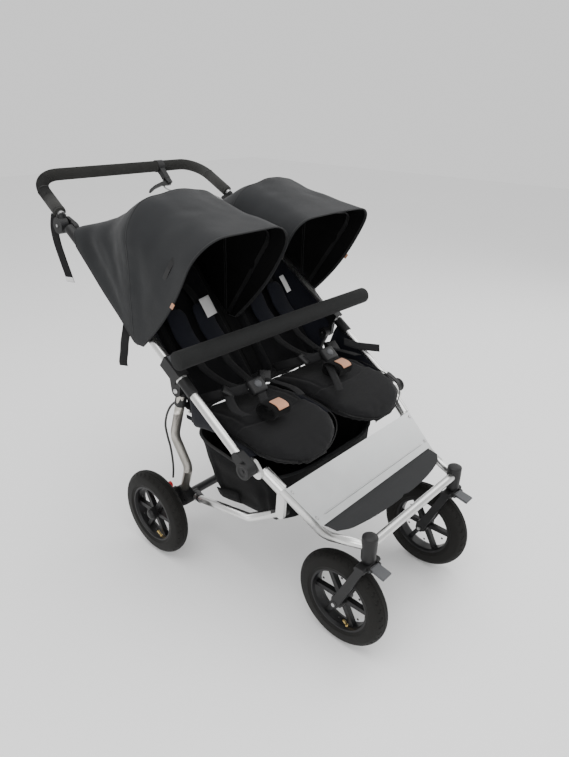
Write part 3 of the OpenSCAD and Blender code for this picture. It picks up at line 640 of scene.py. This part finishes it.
for place in ("front", "rear"):
    for side, sign in SIDES:
        body = f"{place}_wheel_{side}"
        hub = treaded_tyre(f"tyre_tread_{place}_{side}", f"tyre_{place}_{side}", body)
        outward = Vector((sign, 0, 0))
        if place == "rear":
            turned(f"hub_cap_{place}_{side}", ((0, 6.5), (7, 6.2), (12, 4.5), (14, 1.5), (14.5, 0)), rim_nylon,
                   facing(hub + outward * 22 * MM, outward), body)
        for k in range(6):
            a = math.radians(60 * k)
            spot = hub + outward * 7 * MM + Vector((0, math.sin(a), math.cos(a))) * 62 * MM
            turned(f"rim_rivet_{place}_{side}_{k}", ((0, 1.6), (2.4, 1.2), (3.2, 0)), rim_nylon, facing(spot, outward), body, 12)
        a = math.radians(200)
        inward = -Vector((0, math.sin(a), math.cos(a)))
        stem = hub - inward * 76 * MM + outward * 8 * MM
        turned(f"valve_{place}_{side}", ((4.2, -2), (4.2, 3), (2.6, 4), (2.6, 13), (3.4, 13.5), (3.4, 22), (0, 23)), brass,
               facing(stem, (inward + outward * 0.35).normalized()), body, 16)


# ---------------------------------------------------------------- hoods
HOOD_BACK = ((516, 866), (524, 914), 22, 3)
HOOD_MIDDLE = ((290, 660), (282, 1015), 104, 7)
HOOD_FRONT = {-1: ((254, 660), (31, 953), 86, 0), 1: ((259, 657), (42, 954), 54, 3)}
FRONT_BULGE = 21
HOOD_W, HOOD_IN = 317, 6
HOOD_MID = HOOD_IN + HOOD_W / 2


def arch(width, height, radius, crown, count):
    """Points (x, height) from one foot to the other, evenly spaced along the arch."""
    corner = []
    for k in range(13):
        a = math.radians(90 * k / 12)
        corner.append((-width + radius - radius * math.cos(a), height - radius + radius * math.sin(a)))
    top = [(x * (width - radius), height + crown * (1 - x * x)) for x in (-0.75, -0.5, -0.25, 0, 0.25, 0.5, 0.75)]
    outline = [(-width, 0.0)] + corner + top + [(-x, h) for x, h in reversed(corner)] + [(width, 0.0)]
    outline = [Vector((x, h, 0)) for x, h in outline]
    total = path_length(outline)
    out, i, passed = [], 0, 0.0
    for k in range(count):
        goal = total * k / (count - 1)
        while i < len(outline) - 2 and passed + (outline[i + 1] - outline[i]).length < goal:
            passed += (outline[i + 1] - outline[i]).length
            i += 1
        step = outline[i + 1] - outline[i]
        out.append(outline[i] + step * min((goal - passed) / max(step.length, 1e-9), 1))
    return out


def hood_row(sign, a, b, t, inset, bulge=0, count=61):
    """One row of a hood's cloth, t of the way from section a to section b, in millimetres."""
    foot = Vector(a[0]).lerp(Vector(b[0]), t)
    top = Vector(a[1]).lerp(Vector(b[1]), t)
    radius = mix(a[2], b[2], t)
    up = (top - foot).normalized()
    high = (top - foot).length - inset
    rows = arch(HOOD_W / 2 - inset, high, max(radius - inset, 2), mix(a[3], b[3], t), count)
    made = []
    for p in rows:
        share = min(p.y / high, 1)
        out = bulge * math.sin(math.pi * share)
        made.append((sign * HOOD_MID + p.x, foot.x + up.x * p.y - up.y * out, foot.y + up.y * p.y + up.x * out, share))
    return made


def hood_sheet(side, sign):
    rows = []
    rear_steps, front_steps = 26, 22
    for i in range(rear_steps + front_steps + 1):
        if i <= rear_steps:
            t = i / rear_steps
            base = hood_row(sign, HOOD_BACK, HOOD_MIDDLE, t, 0.6)
            hollow = 15 * math.sin(math.pi * min(t * 1.08, 1)) ** 1.3
        else:
            t = (i - rear_steps) / front_steps
            base = hood_row(sign, HOOD_MIDDLE, HOOD_FRONT[sign], t, 0.6, FRONT_BULGE * t ** 1.5)
            hollow = 5 * math.sin(math.pi * t)
        row = []
        for k, (x, y, z, high) in enumerate(base):
            u = k / (len(base) - 1)
            flat = 4 * u * (1 - u)
            rise = smooth_step(high * 1.6)
            lean = (x - sign * HOOD_MID) / (HOOD_W / 2)
            pull = hollow * rise
            x -= pull * 0.9 * lean * abs(lean)
            z -= pull * (0.35 + 0.65 * flat)
            # folds that fan out from the bow's pivot, and puckers beside the seam
            if i <= rear_steps:
                fan = math.atan2(z - 660, y - 285 + 1e-3)
                fold = math.sin(fan * 19 + 2.2 * noise.noise(Vector((y * 0.01, z * 0.006, 3 + sign)))) * 2.6
                fold *= 1.5 * smooth_step((1.1 - high) * 2.2) * math.sin(math.pi * min(t * 1.12, 1))
                pucker = math.sin(z * 0.16) * 2.4 * math.exp(-((1 - t) / 0.08) ** 2) * smooth_step((1.05 - high) * 2)
            else:
                fold = 3.4 * math.sin(u * 26 + t * 5 + 1.5 * noise.noise(Vector((u * 4, t * 3, 7 + sign)))) * math.sin(math.pi * t) * smooth_step((0.75 - abs(u - 0.5) * 1.2) * 1.5)
                pucker = math.sin(z * 0.16) * 1.7 * math.exp(-(t / 0.1) ** 2) * smooth_step((1.05 - high) * 2)
            ripple = 5.0 * noise.noise(Vector((x * 0.011, y * 0.013, z * 0.011 + 5 * sign))) + 2.4 * noise.noise(Vector((x * 0.035, y * 0.03, z * 0.03)))
            edge = math.sin(math.pi * min(max(i / (rear_steps + front_steps), 0.0), 1.0)) ** 0.5
            push = (fold + pucker + ripple * edge) * (0.25 + 0.75 * rise)
            ox, oz = lean * abs(lean), flat ** 2
            size = math.hypot(ox, oz) or 1
            x += min(push, 2.5) * ox / size
            z += push * oz / size * 0.8
            row.append(at(x, y, z))
        rows.append(row)
    made = loft("hood_" + side, rows, hood_cloth)
    thicken(made, 1.6 * MM, 0, 1, hood_lining)
    settle(made)
    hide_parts("hood_rear_" + side, "hood_front_" + side)
    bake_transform(made)
    return rows


def edge_tape(name, line, inner, width, material, body, thick=2.2):
    """A binding that wraps an edge: line is the edge, inner the row beside it."""
    rows = []
    for p, q in zip(line, inner):
        d = (q - p).normalized()
        rows.append([p + d * width * MM, p - d * 0.8 * MM])
    made = loft(name, rows, material)
    thicken(made, thick * MM, 0, 1)
    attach(made, body)
    return made


for side, sign in SIDES:
    rows = hood_sheet(side, sign)
    edge_tape("hood_binding_front_" + side, rows[-1], rows[-3], 9, binding, "bow_" + side, 3.4)
    edge_tape("hood_binding_rear_" + side, rows[0], rows[2], 8, binding, "seat_frame", 3.2)
    seam = rows[26]
    edge_tape("hood_seam_" + side, seam, rows[25], 5, binding, "seat_frame", 2.8)
    edge_tape("hood_seam_second_" + side, [mix(a, b, 0.9) for a, b in zip(seam, rows[25])], rows[24], 3, binding, "seat_frame", 2.4)
    # rear panel's lower edge, along the rail
    foot = [r[0] for r in rows[:27]]
    head = [r[2] for r in rows[:27]]
    edge_tape("hood_hem_out_" + side, foot if sign < 0 else [r[-1] for r in rows[:27]], head if sign < 0 else [r[-3] for r in rows[:27]],
              8, binding, "seat_frame", 2.8)
    # bow's stay inside the hood
    tag_row = rows[-1][11] if sign < 0 else rows[-1][-12]
    tag_next = rows[-1][12] if sign < 0 else rows[-1][-13]
    away = Vector((sign * 0.0035, 0, 0))
    tag = ribbon("hood_tag_" + side, [tag_row + away, mix(tag_row, tag_next, 0.5) + away, tag_next + away], 10, Vector((0, 1, 0.4)), copper_patch, None, 1.0)
    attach(tag, "bow_" + side)


# ---------------------------------------------------------------- seats
SEAT_MID = 145
SEAT_TOP = ((-166, 462), (-158, 473), (-146, 484), (-120, 497), (-60, 514), (20, 523), (90, 515), (150, 500))
BACK_SLOPE = math.radians(51)
HINGE_Y, HINGE_Z = 160, 492


SEAT_HALF, SEAT_FRONT, SEAT_REAR, SEAT_ROUND, SEAT_POWER = 134, -166, 148, 92, 2.3


def seat_half(y):
    """Half the width of a seat cushion at y: a rounded front, then straight sides."""
    q = min(max((SEAT_FRONT + SEAT_ROUND - y) / SEAT_ROUND, 0), 1)
    return SEAT_HALF * max(1 - q ** SEAT_POWER, 0) ** (1 / SEAT_POWER)


def seat_grid(name, thick, crown, material):
    """A seat pad: a grid bent to the seat, its front corners rounded, then given its thickness."""
    bm = bmesh.new()
    bmesh.ops.create_grid(bm, x_segments=30, y_segments=34, size=1.0)
    for v in bm.verts:
        s, t = v.co.x, (v.co.y + 1) / 2
        y = mix(SEAT_FRONT, SEAT_REAR, t ** 1.7)
        x = s * max(seat_half(y), SEAT_HALF * 0.16)
        z = along(SEAT_TOP, y) - thick / 2 + crown * (1 - s ** 4) - 3
        v.co = (x, y, z)
    for v in bm.verts:
        v.co = at(-SEAT_MID + v.co.x, v.co.y, v.co.z)
    bmesh.ops.solidify(bm, geom=bm.faces[:], thickness=thick * MM)
    return piece(name, bm, material, None, 0)


def back_place(x, s, h):
    """A point on the right backrest: x across, s up from its hinge, h out of its face."""
    c, n = math.cos(BACK_SLOPE), math.sin(BACK_SLOPE)
    return at(x, HINGE_Y + s * c - h * n, HINGE_Z + s * n + h * c)


def back_grid(name, half, length, thick, material):
    bm = bmesh.new()
    bmesh.ops.create_grid(bm, x_segments=26, y_segments=40, size=1.0)
    for v in bm.verts:
        s, t = v.co.x, (v.co.y + 1) / 2
        up = mix(14, length, t)
        w = half * (1 - 0.16 * smooth_step((t - 0.75) * 4))
        wing = 9 * smooth_step((abs(s) - 0.62) / 0.3) * (1 - 0.6 * t)
        v.co = back_place(-SEAT_MID + 8 + s * w, up, wing - 3)
    bmesh.ops.solidify(bm, geom=bm.faces[:], thickness=thick * MM)
    return piece(name, bm, material, None, 0)


def finish_pad(obj):
    fine = obj.modifiers.new("rounding", "SUBSURF")
    fine.levels = fine.render_levels = 1
    settle(obj)
    return obj


def crease(obj, test, deep):
    """Presses sewn lines into a pad: test gives how near a point is to a line, 0 to 1."""
    normals = [v.normal.copy() for v in obj.data.vertices]
    for v, n in zip(obj.data.vertices, normals):
        v.co -= n * deep * MM * test(v.co, n)


def near(value, line, width):
    return math.exp(-((value - line) / width) ** 2)


def seat_lines(p, n):
    if n.z < 0.2:
        return 0
    x, y = p.x / MM + SEAT_MID, (p.y - MID_Y) / MM
    front = near(y, -38 + 0.0016 * x * x, 4.5) * (1 if abs(x) < 128 else 0)
    sides = (near(abs(x), 96, 4.5) * smooth_step((y + 30) / 20)) if y > -36 else 0
    edge = near(abs(x), seat_half(y) - 7, 3.5) if y > SEAT_FRONT + 12 else 0
    return min(front + sides + 0.8 * edge, 1)


seat_right = seat_grid("seat_cushion_right", 26, 4, seat_knit)
plump(seat_right, 5, 4, 9)
crease(seat_right, seat_lines, 3.2)
back_right = back_grid("back_cushion_right", 119, 474, 18, back_knit)
plump(back_right, 5, 4, 8)


def back_lines(p, n):
    y, z = (p.y - MID_Y) / MM - HINGE_Y, p.z / MM - HINGE_Z
    s = y * math.cos(BACK_SLOPE) + z * math.sin(BACK_SLOPE)
    x = p.x / MM + SEAT_MID - 8
    if n.y > 0.2:
        return 0
    return min(near(abs(x), 78, 4) + near(s, 150, 4) * (abs(x) < 78) + near(s, 330, 4) * (abs(x) < 78), 1)


crease(back_right, back_lines, 3.0)
seat_left = mirrored(seat_right, "seat_cushion_left")
back_left = mirrored(back_right, "back_cushion_left")
for side, seat, back in (("right", seat_right, back_right), ("left", seat_left, back_left)):
    finish_pad(seat)
    finish_pad(back)
    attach(seat, "seat_frame")
    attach(back, "backrest_" + side)
    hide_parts("seat_pad_" + side)
    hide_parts("backrest_" + side)


def seat_seam(side, sign):
    """Piping round the sides and front of a seat cushion."""
    outline = [(SEAT_HALF, y) for y in range(130, SEAT_FRONT + SEAT_ROUND, -16)]
    for k in range(33):
        a = math.radians(180 * k / 32)
        c, n = math.cos(a), math.sin(a)
        x = SEAT_HALF * math.copysign(abs(c) ** (2 / SEAT_POWER), c)
        outline.append((x, SEAT_FRONT + SEAT_ROUND * (1 - n ** (2 / SEAT_POWER))))
    outline += [(-x, y) for x, y in reversed(outline[:outline.index(next(o for o in outline if o[1] < SEAT_FRONT + SEAT_ROUND))])]
    line = [at(sign * SEAT_MID + x * 1.025, y - (2 if y < -100 else 0), along(SEAT_TOP, y) - 16) for x, y in outline]
    made = tube("seat_piping_" + side, line, 1.5 * MM, black_cloth, "seat_frame", 8)
    return made


for side, sign in SIDES:
    seat_seam(side, sign)


# ---------------------------------------------------------------- seat shell and side cloths
def rail_z(y):
    return 452 + (y + 92) * math.tan(math.radians(34.4))


def shell_row(y):
    z = along(SEAT_TOP, y) - 38
    hang = [(-296, rail_z(y) - 2), (-294, mix(rail_z(y), z, 0.35)), (-291, mix(rail_z(y), z, 0.7)), (-286, z + 4), (-276, z - 3)]
    mid = [(-215, z - 8), (-145, z - 10), (-75, z - 8), (-24, z - 3), (-7, z + 6)]
    half = hang + mid
    if y > 140:
        half = [(max(x, -258), min(h, z + 12)) for x, h in half]
    points = half + [(0, z + 10)] + [(-x, h) for x, h in reversed(half)]
    return [at(x, y + 2 * math.sin(x * 0.05), h) for x, h in points]


shell_rows = [shell_row(y) for y in range(-82, 198, 14)]
shell = loft("seat_sling_cloth", shell_rows, navy_cloth)
thicken(shell, 2 * MM, 0, 1)
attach(shell, "seat_frame")
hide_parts("seat_sling")


def wing_rows(sign):
    rows = []
    for k in range(15):
        y = mix(150, 430, k / 14)
        s = (y - 160) / math.cos(BACK_SLOPE) * 0.72
        low = back_place(0, max(s, 0), 0)
        top = at(0, y, rail_z(y) - 3)
        row = []
        for j in range(8):
            t = j / 7
            p = low.lerp(top, t)
            x = mix(246, 297, smooth_step(t)) + 4 * math.sin(3.1 * t + k * 0.9) * math.sin(math.pi * t)
            row.append(Vector((sign * x * MM, p.y, p.z)))
        rows.append(row)
    return rows


for side, sign in SIDES:
    wing = loft("side_cloth_" + side, wing_rows(sign), navy_cloth)
    thicken(wing, 1.8 * MM, 0, 1)
    settle(wing)
    face = Vector((0, math.sin(BACK_SLOPE), -math.cos(BACK_SLOPE)))
    end = at(0, 300, HINGE_Z + (300 - HINGE_Y) * math.tan(BACK_SLOPE))
    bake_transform(wing)


def middle_cloth(side, sign):
    """The strip between a backrest's inner edge and the centre line."""
    rows = []
    for k in range(16):
        s = mix(0, 462, k / 15)
        rows.append([back_place(x, s, -9 - 5 * math.cos(x * 0.1) + 1.5 * sign) for x in (6, -4, -14, -26, -38)])
    rows = [[Vector((-sign * p.x, p.y, p.z)) for p in row] for row in rows]
    made = loft("middle_cloth_" + side, rows, black_cloth)
    thicken(made, 2 * MM, 0, 1)
    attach(made, "backrest_" + side)


for side, sign in SIDES:
    middle_cloth(side, sign)

# the flap over the backrests' hinge
hinge_rows = [[at(x, y, z + math.sin(x * 0.06)) for x in range(-272, 273, 16)] for y, z in ((128, 504), (146, 503), (158, 501), (168, 502), (180, 512))]
hinge_flap = loft("seat_hinge_flap", hinge_rows, seat_knit)
thicken(hinge_flap, 2 * MM, 0, 1)
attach(hinge_flap, "seat_frame")


# ---------------------------------------------------------------- harness
def on_back(seat, x, s, h):
    """A point on the face of a backrest, x from the middle of its seat."""
    p = back_place(0, s, h)
    return Vector((((SEAT_MID if seat > 0 else -SEAT_MID) + x) * MM, p.y, p.z))


def shoulder_pad(name, seat, x, body):
    """A padded sleeve on a shoulder strap."""
    bm = bmesh.new()
    bmesh.ops.create_grid(bm, x_segments=10, y_segments=20, size=1.0)
    for v in bm.verts:
        s, t = v.co.x, (v.co.y + 1) / 2
        w = 31 * (1 - 0.35 * abs(2 * t - 1) ** 8)
        up = mix(118, 262, t)
        lift = 27 + 5 * (1 - s * s) + 3 * math.sin(t * 9)
        v.co = on_back(seat, x + s * w + 4 * (1 - t), up, lift)
    bmesh.ops.solidify(bm, geom=bm.faces[:], thickness=7 * MM)
    made = piece(name, bm, navy_pad, None, 0)
    fine = made.modifiers.new("rounding", "SUBSURF")
    fine.levels = fine.render_levels = 2
    settle(made)
    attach(made, body)
    return made


ACROSS = Vector((1, 0, 0))
# loose ends of the harness, for the right and the left seat
LOOSE = {
    -1: ((((-92, 66, 560), (-70, 30, 551), (-58, -8, 545), (-66, -44, 540)), 20),
         (((-205, 84, 560), (-232, 40, 549), (-246, 6, 543), (-240, -26, 540)), 22)),
    1: ((((180, 100, 560), (150, 62, 557), (105, 0, 549), (60, -60, 539), (42, -85, 528)), 20),
        (((196, 70, 560), (226, 34, 550), (238, 0, 545)), 20)),
}
for side, sign in SIDES:
    body = "backrest_" + side
    mid = sign * SEAT_MID
    for name, x in (("in", -sign * 44), ("out", sign * 44)):
        shoulder_pad(f"shoulder_pad_{name}_{side}", sign, x, body)
        upper = soft_path([on_back(sign, x * 0.9, 330, 9), on_back(sign, x, 300, 20), on_back(sign, x, 262, 27)], 5)
        ribbon(f"shoulder_strap_{name}_{side}", upper, 25, ACROSS, strap_black, body)
        lower = soft_path([
            on_back(sign, x, 120, 30), on_back(sign, x * 0.95, 84, 34), at(mid + x * 0.8, 128, 560), at(mid + x * 0.62, 92, 556), at(mid + x * 0.4, 62, 562),
        ], 6)
        ribbon(f"shoulder_strap_low_{name}_{side}", lower, 25, ACROSS, strap_black, "seat_frame")
    # lap straps and their sliders
    for name, end, turn in (("out", sign, 0.25), ("in", -sign, -0.2)):
        lap = soft_path([
            at(mid + end * 112, 140, 528), at(mid + end * 98, 104, 546), at(mid + end * 74, 78, 556), at(mid + end * 46, 58, 560), at(mid + end * 22, 48, 564),
        ], 6)
        ribbon(f"lap_strap_{name}_{side}", lap, 25, Vector((0.1 * end, 0.45, 0.9)), strap_black, "seat_frame")
        rounded_block(f"strap_slider_{name}_{side}", (30, 34, 8), 2.4, nylon,
                      facing(at(mid + end * 66, 72, 560), Vector((-0.3 * end, -0.5, 0.8)), turn), "seat_frame")
    # buckle and crotch strap
    tilt = facing(at(mid, 36, 566), Vector((0, -0.62, 0.78)))
    rounded_block("buckle_" + side, (52, 46, 17), 6, nylon, tilt, "seat_frame", 4, 0.9)
    turned("buckle_button_" + side, ((0, 3.4), (8, 3.2), (10.5, 1.4), (11, 0)), grey_nylon, tilt @ Matrix.Translation((0, 0.002, 0.0085)), "seat_frame", 32)
    shift = -26 if sign < 0 else -12
    y0 = -46 if sign < 0 else -6
    loop = []
    for k in range(33):
        a = 2 * math.pi * k / 32
        c, s = math.cos(a), math.sin(a)
        loop.append(at(0, y0 + 29 * math.copysign(abs(c) ** 0.7, c) - 8 * s, 543 + 19 * math.copysign(abs(s) ** 0.8, s) + 3 * c))
    rows = [[Vector(((mid + shift + w) * MM, p.y, p.z + 0.0015 * math.cos(w * 0.08))) for p in loop] for w in range(-31, 32, 6)]
    sleeve = loft("crotch_sleeve_" + side, rows, black_cloth)
    thicken(sleeve, 3.2 * MM, 0, 1)
    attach(sleeve, "seat_frame")
    face = [loop[k] for k in range(7, 14)]
    centre = at(0, y0, 543)
    patch_rows = [[Vector(((mid + shift + w) * MM, 0, 0)) + centre + (Vector((0, p.y, p.z)) - centre) * 1.15 - Vector((centre.x, 0, 0)) for p in face]
                  for w in range(-18, 19, 4)]
    patch = loft("crotch_patch_" + side, patch_rows, copper_patch)
    thicken(patch, 1.2 * MM, 0, 1)
    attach(patch, "seat_frame")
    crotch = soft_path([at(mid + shift * 0.6, -30, 528), at(mid + shift * 0.4, 0, 540), at(mid, 22, 556)], 6)
    ribbon("crotch_strap_" + side, crotch, 28, ACROSS, strap_black, "seat_frame")
    for i, (route, wide) in enumerate(LOOSE[sign]):
        ribbon(f"loose_strap_{side}_{i}", soft_path([at(*p) for p in route], 6), wide, Vector((0.75, -0.6, 0.1)), strap_black, "seat_frame", 1.6)
    label = [on_back(sign, 60 if sign < 0 else 84, s, 40 - abs(s - 240) * 0.02) for s in range(214, 276, 8)]
    tag = ribbon("care_label_" + side, label, 40 if sign < 0 else 22, Vector((1, 0.15, 0.1)), label_white, None, 0.7)
    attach(tag, body)
for name, points, width in (
    ("tail_left", ((150 + 105, 66, 566), (276, 30, 556), (300, 2, 552), (322, -18, 548)), 22),
):
    ribbon("strap_" + name, soft_path([at(*p) for p in points], 6), width, Vector((0.3, 0.3, 0.9)), strap_black, "seat_frame", 1.6)

# straps that hang from the handlebar and the rail
wrist = soft_path([at(-305, 634, 934), at(-309, 640, 900), at(-310, 634, 860), at(-308, 620, 815), at(-305, 608, 776), at(-303, 602, 752)], 6)
ribbon("tether_strap", wrist, 21, Vector((-0.66, 0.75, 0.12)), strap_black, "handlebar", 1.8)
ribbon("tether_end", [mix(wrist[-1], wrist[-5], k / 3) + Vector((-0.0012, -0.0008, 0)) for k in range(4)], 21, Vector((-0.66, 0.75, 0.12)), label_white, "handlebar", 1.2)
hanging = soft_path([at(-300, 350, 690), at(-306, 350, 668), at(-305, 362, 640), at(-303, 372, 610), at(-304, 380, 580), at(-302, 382, 566)], 6)
ribbon("side_strap", hanging, 22, Vector((-0.62, 0.78, 0.1)), strap_black, "seat_frame", 1.8)


# ---------------------------------------------------------------- basket
def basket_ring(t, count=96):
    """A loop of the basket's wall, t from its rim, 0, to its floor, 1."""
    top = mix(1, 0.0, t)
    half_x = mix(172, 222, top ** 0.6)
    y0, y1 = mix(-92, -112, top), mix(182, 226, top)
    cy, half_y = (y0 + y1) / 2, (y1 - y0) / 2
    row = []
    for k in range(count):
        a = 2 * math.pi * k / count
        c, s = math.cos(a), math.sin(a)
        x = half_x * math.copysign(abs(c) ** 0.42, c)
        y = cy + half_y * math.copysign(abs(s) ** 0.42, s)
        rim = 372 + 0.075 * (y + 112) - 10 * (1 - abs(s)) * math.sin(math.pi * (y - y0) / (y1 - y0))
        floor_z = mix(214, 198, smooth_step((y + 80) / 200))
        z = mix(floor_z, rim, top)
        fold = 5.5 * math.sin(a * 17 + 3 * noise.noise(Vector((c * 2, s * 2, t * 2)))) * math.sin(math.pi * min(top + 0.08, 1)) ** 1.2
        fold += 7 * noise.noise(Vector((x * 0.012, y * 0.014, z * 0.02)))
        row.append(at(x - fold * 0.8 * c, y - fold * 0.7 * s, z))
    return row


rings = [basket_ring(k / 15) for k in range(16)]
for shrink in (0.86, 0.66, 0.42, 0.2):
    last = rings[15]
    mid_point = sum(last, Vector()) / len(last)
    rings.append([mid_point + (p - mid_point) * shrink - Vector((0, 0, (5 + 6 * (1 - shrink)) * MM * (1 if shrink < 0.8 else 0.4))) for p in last])
basket = loft("basket_cloth", rings, black_cloth, closed=True, cap=True)
thicken(basket, 2 * MM, 0, 1)
settle(basket)
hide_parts("basket")
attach(basket, "base_frame")
label_rows = []
for k in range(7):
    y, high = mix(142, 46, k / 6), mix(238, 270, k / 6)
    label_rows.append([at(-6 - mix(172, 222, (max(z - 198, 0) / 174) ** 0.6), y, z) for z in (high, high - 15, high - 30, high - 43)])
basket_label = loft("basket_label", label_rows, black_cloth)
thicken(basket_label, 1.2 * MM)
settle(basket_label)
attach(basket_label, "base_frame")
rim_tape = tube("basket_rim", rings[0] + rings[0][:1], 4 * MM, binding, "base_frame", 10)
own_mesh(basket)
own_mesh(rim_tape)
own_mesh(basket_label)


# ---------------------------------------------------------------- footplate flap
low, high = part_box("footplate_flap")


def flap_row(t):
    """One row across the rubber flap, t from the plate to its free edge."""
    row = []
    for k in range(61):
        s = -1 + k / 30
        half = mix(232, 226, t)
        x = s * half
        reach = 73 - 30 * abs(s) ** 2.6 - 6 * math.exp(-(s / 0.035) ** 2) - 9 * smooth_step((abs(s) - 0.86) / 0.14)
        droop = 1.6 * t * t * (1 + math.sin(3 * s))
        row.append(Vector((x * MM, high.y - reach * t * MM, high.z - (1.6 + droop) * MM + 1.2 * MM * math.exp(-((t - 0.3) / 0.05) ** 2))))
    return row


flap = loft("footplate_flap_rubber", [flap_row(k / 16) for k in range(17)], flap_rubber)
thicken(flap, 3 * MM, 0, 1)
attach(flap, "front_frame")
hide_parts("footplate_flap")


# ---------------------------------------------------------------- small fittings
for side, sign in SIDES:
    place = at(sign * 194.6, -363, 343)
    turned("caster_cap_" + side, ((18.4, -6), (18.9, -4), (18.2, 0.2), (15, 2.6), (8, 3.6), (0, 3.8)), nylon,
           Matrix.Translation(place), "front_frame")
    out = Vector((sign, 0, 0))
    turned("fold_disc_rim_" + side, ((20.6, -2), (21, 0), (20.4, 2.2), (15, 3), (11.5, 2.2), (10.8, 1.4), (4.5, 1.2), (4.2, 2.8), (0, 3)), nylon,
           facing(at(sign * 322, -92, 452), out), "front_frame")
    turned("leg_bolt_" + side, ((0, 5.4), (4, 5), (6.4, 3), (7, 0)), zinc, facing(at(sign * 304, 160, 565), out), "seat_frame", 24)
    turned("joint_ring_" + side, ((11.2, -3), (14.8, -3), (15.4, 0), (14.8, 3), (11.2, 3)), aluminium,
           facing(at(sign * 305, 132.5, rail_z(132.5)), Vector((0, math.cos(math.radians(34.4)), math.sin(math.radians(34.4))))), "seat_frame")


# ---------------------------------------------------------------- finishes of the frame's own parts
NODE_FINISH = {
    aluminium: ("side_rail_", "front_crossbar", "fold_brackets"),
    plate_aluminium: ("footplate",),
    zinc: ("front_axle_", "rear_axles", "pivot_pins", "footplate_screws", "bumper_tube", "handle_tube"),
    black_tube: ("axle_cross_tube",),
    rim_nylon: ("rim_",),
    grey_nylon: ("swivel_lock_", "bumper_brackets"),
    red_nylon: ("brake_pawl_",),
}
for name, obj in frame["nodes"].items():
    chosen = nylon
    for material, starts in NODE_FINISH.items():
        if any(name == s or (s.endswith("_") and name.startswith(s)) for s in starts):
            chosen = material
    if obj.hide_render:
        continue
    if obj.data.materials:
        for i in range(len(obj.data.materials)):
            obj.data.materials[i] = chosen
    else:
        obj.data.materials.append(chosen)


# ---------------------------------------------------------------- floor and light
bm = bmesh.new()
bmesh.ops.create_grid(bm, x_segments=1, y_segments=1, size=9)
bmesh.ops.translate(bm, vec=(0, 0, -0.0005), verts=bm.verts[:])
pale = Finish("pale_floor", Specular_IOR_Level=0.2)
cloud = pale.add("TexNoise", pale.place("Object"), Scale=0.8, Detail=2.0)
pale.colour(cloud, (0.93, 0.93, 0.93), (0.95, 0.95, 0.95))
pale.rough(cloud, 0.85, 0.9)
piece("floor", bm, pale.material, None, 0, False)


def soft_light(name, place, target, size, power):
    data = bpy.data.lights.new(name, "AREA")
    data.shape = "RECTANGLE"
    data.size, data.size_y = size
    data.energy = power
    lamp = bpy.data.objects.new(name, data)
    lamp.location = place
    lamp.rotation_mode = "QUATERNION"
    lamp.rotation_quaternion = (Vector(target) - Vector(place)).to_track_quat("-Z", "Y")
    bpy.context.scene.collection.objects.link(lamp)


soft_light("overhead", (-0.3, -0.3, 3.2), (0, 0, 0.5), (3.0, 3.0), 70)
soft_light("front_fill", (-2.6, -2.2, 2.0), (0, 0, 0.5), (2.4, 2.0), 42)
soft_light("side_fill", (2.8, -0.6, 2.2), (0, 0, 0.5), (2.0, 2.0), 26)
world = bpy.data.worlds.new("studio")
world.use_nodes = True
world.node_tree.nodes["Background"].inputs[0].default_value = (1, 1, 1, 1)
world.node_tree.nodes["Background"].inputs[1].default_value = 1.0
bpy.context.scene.world = world
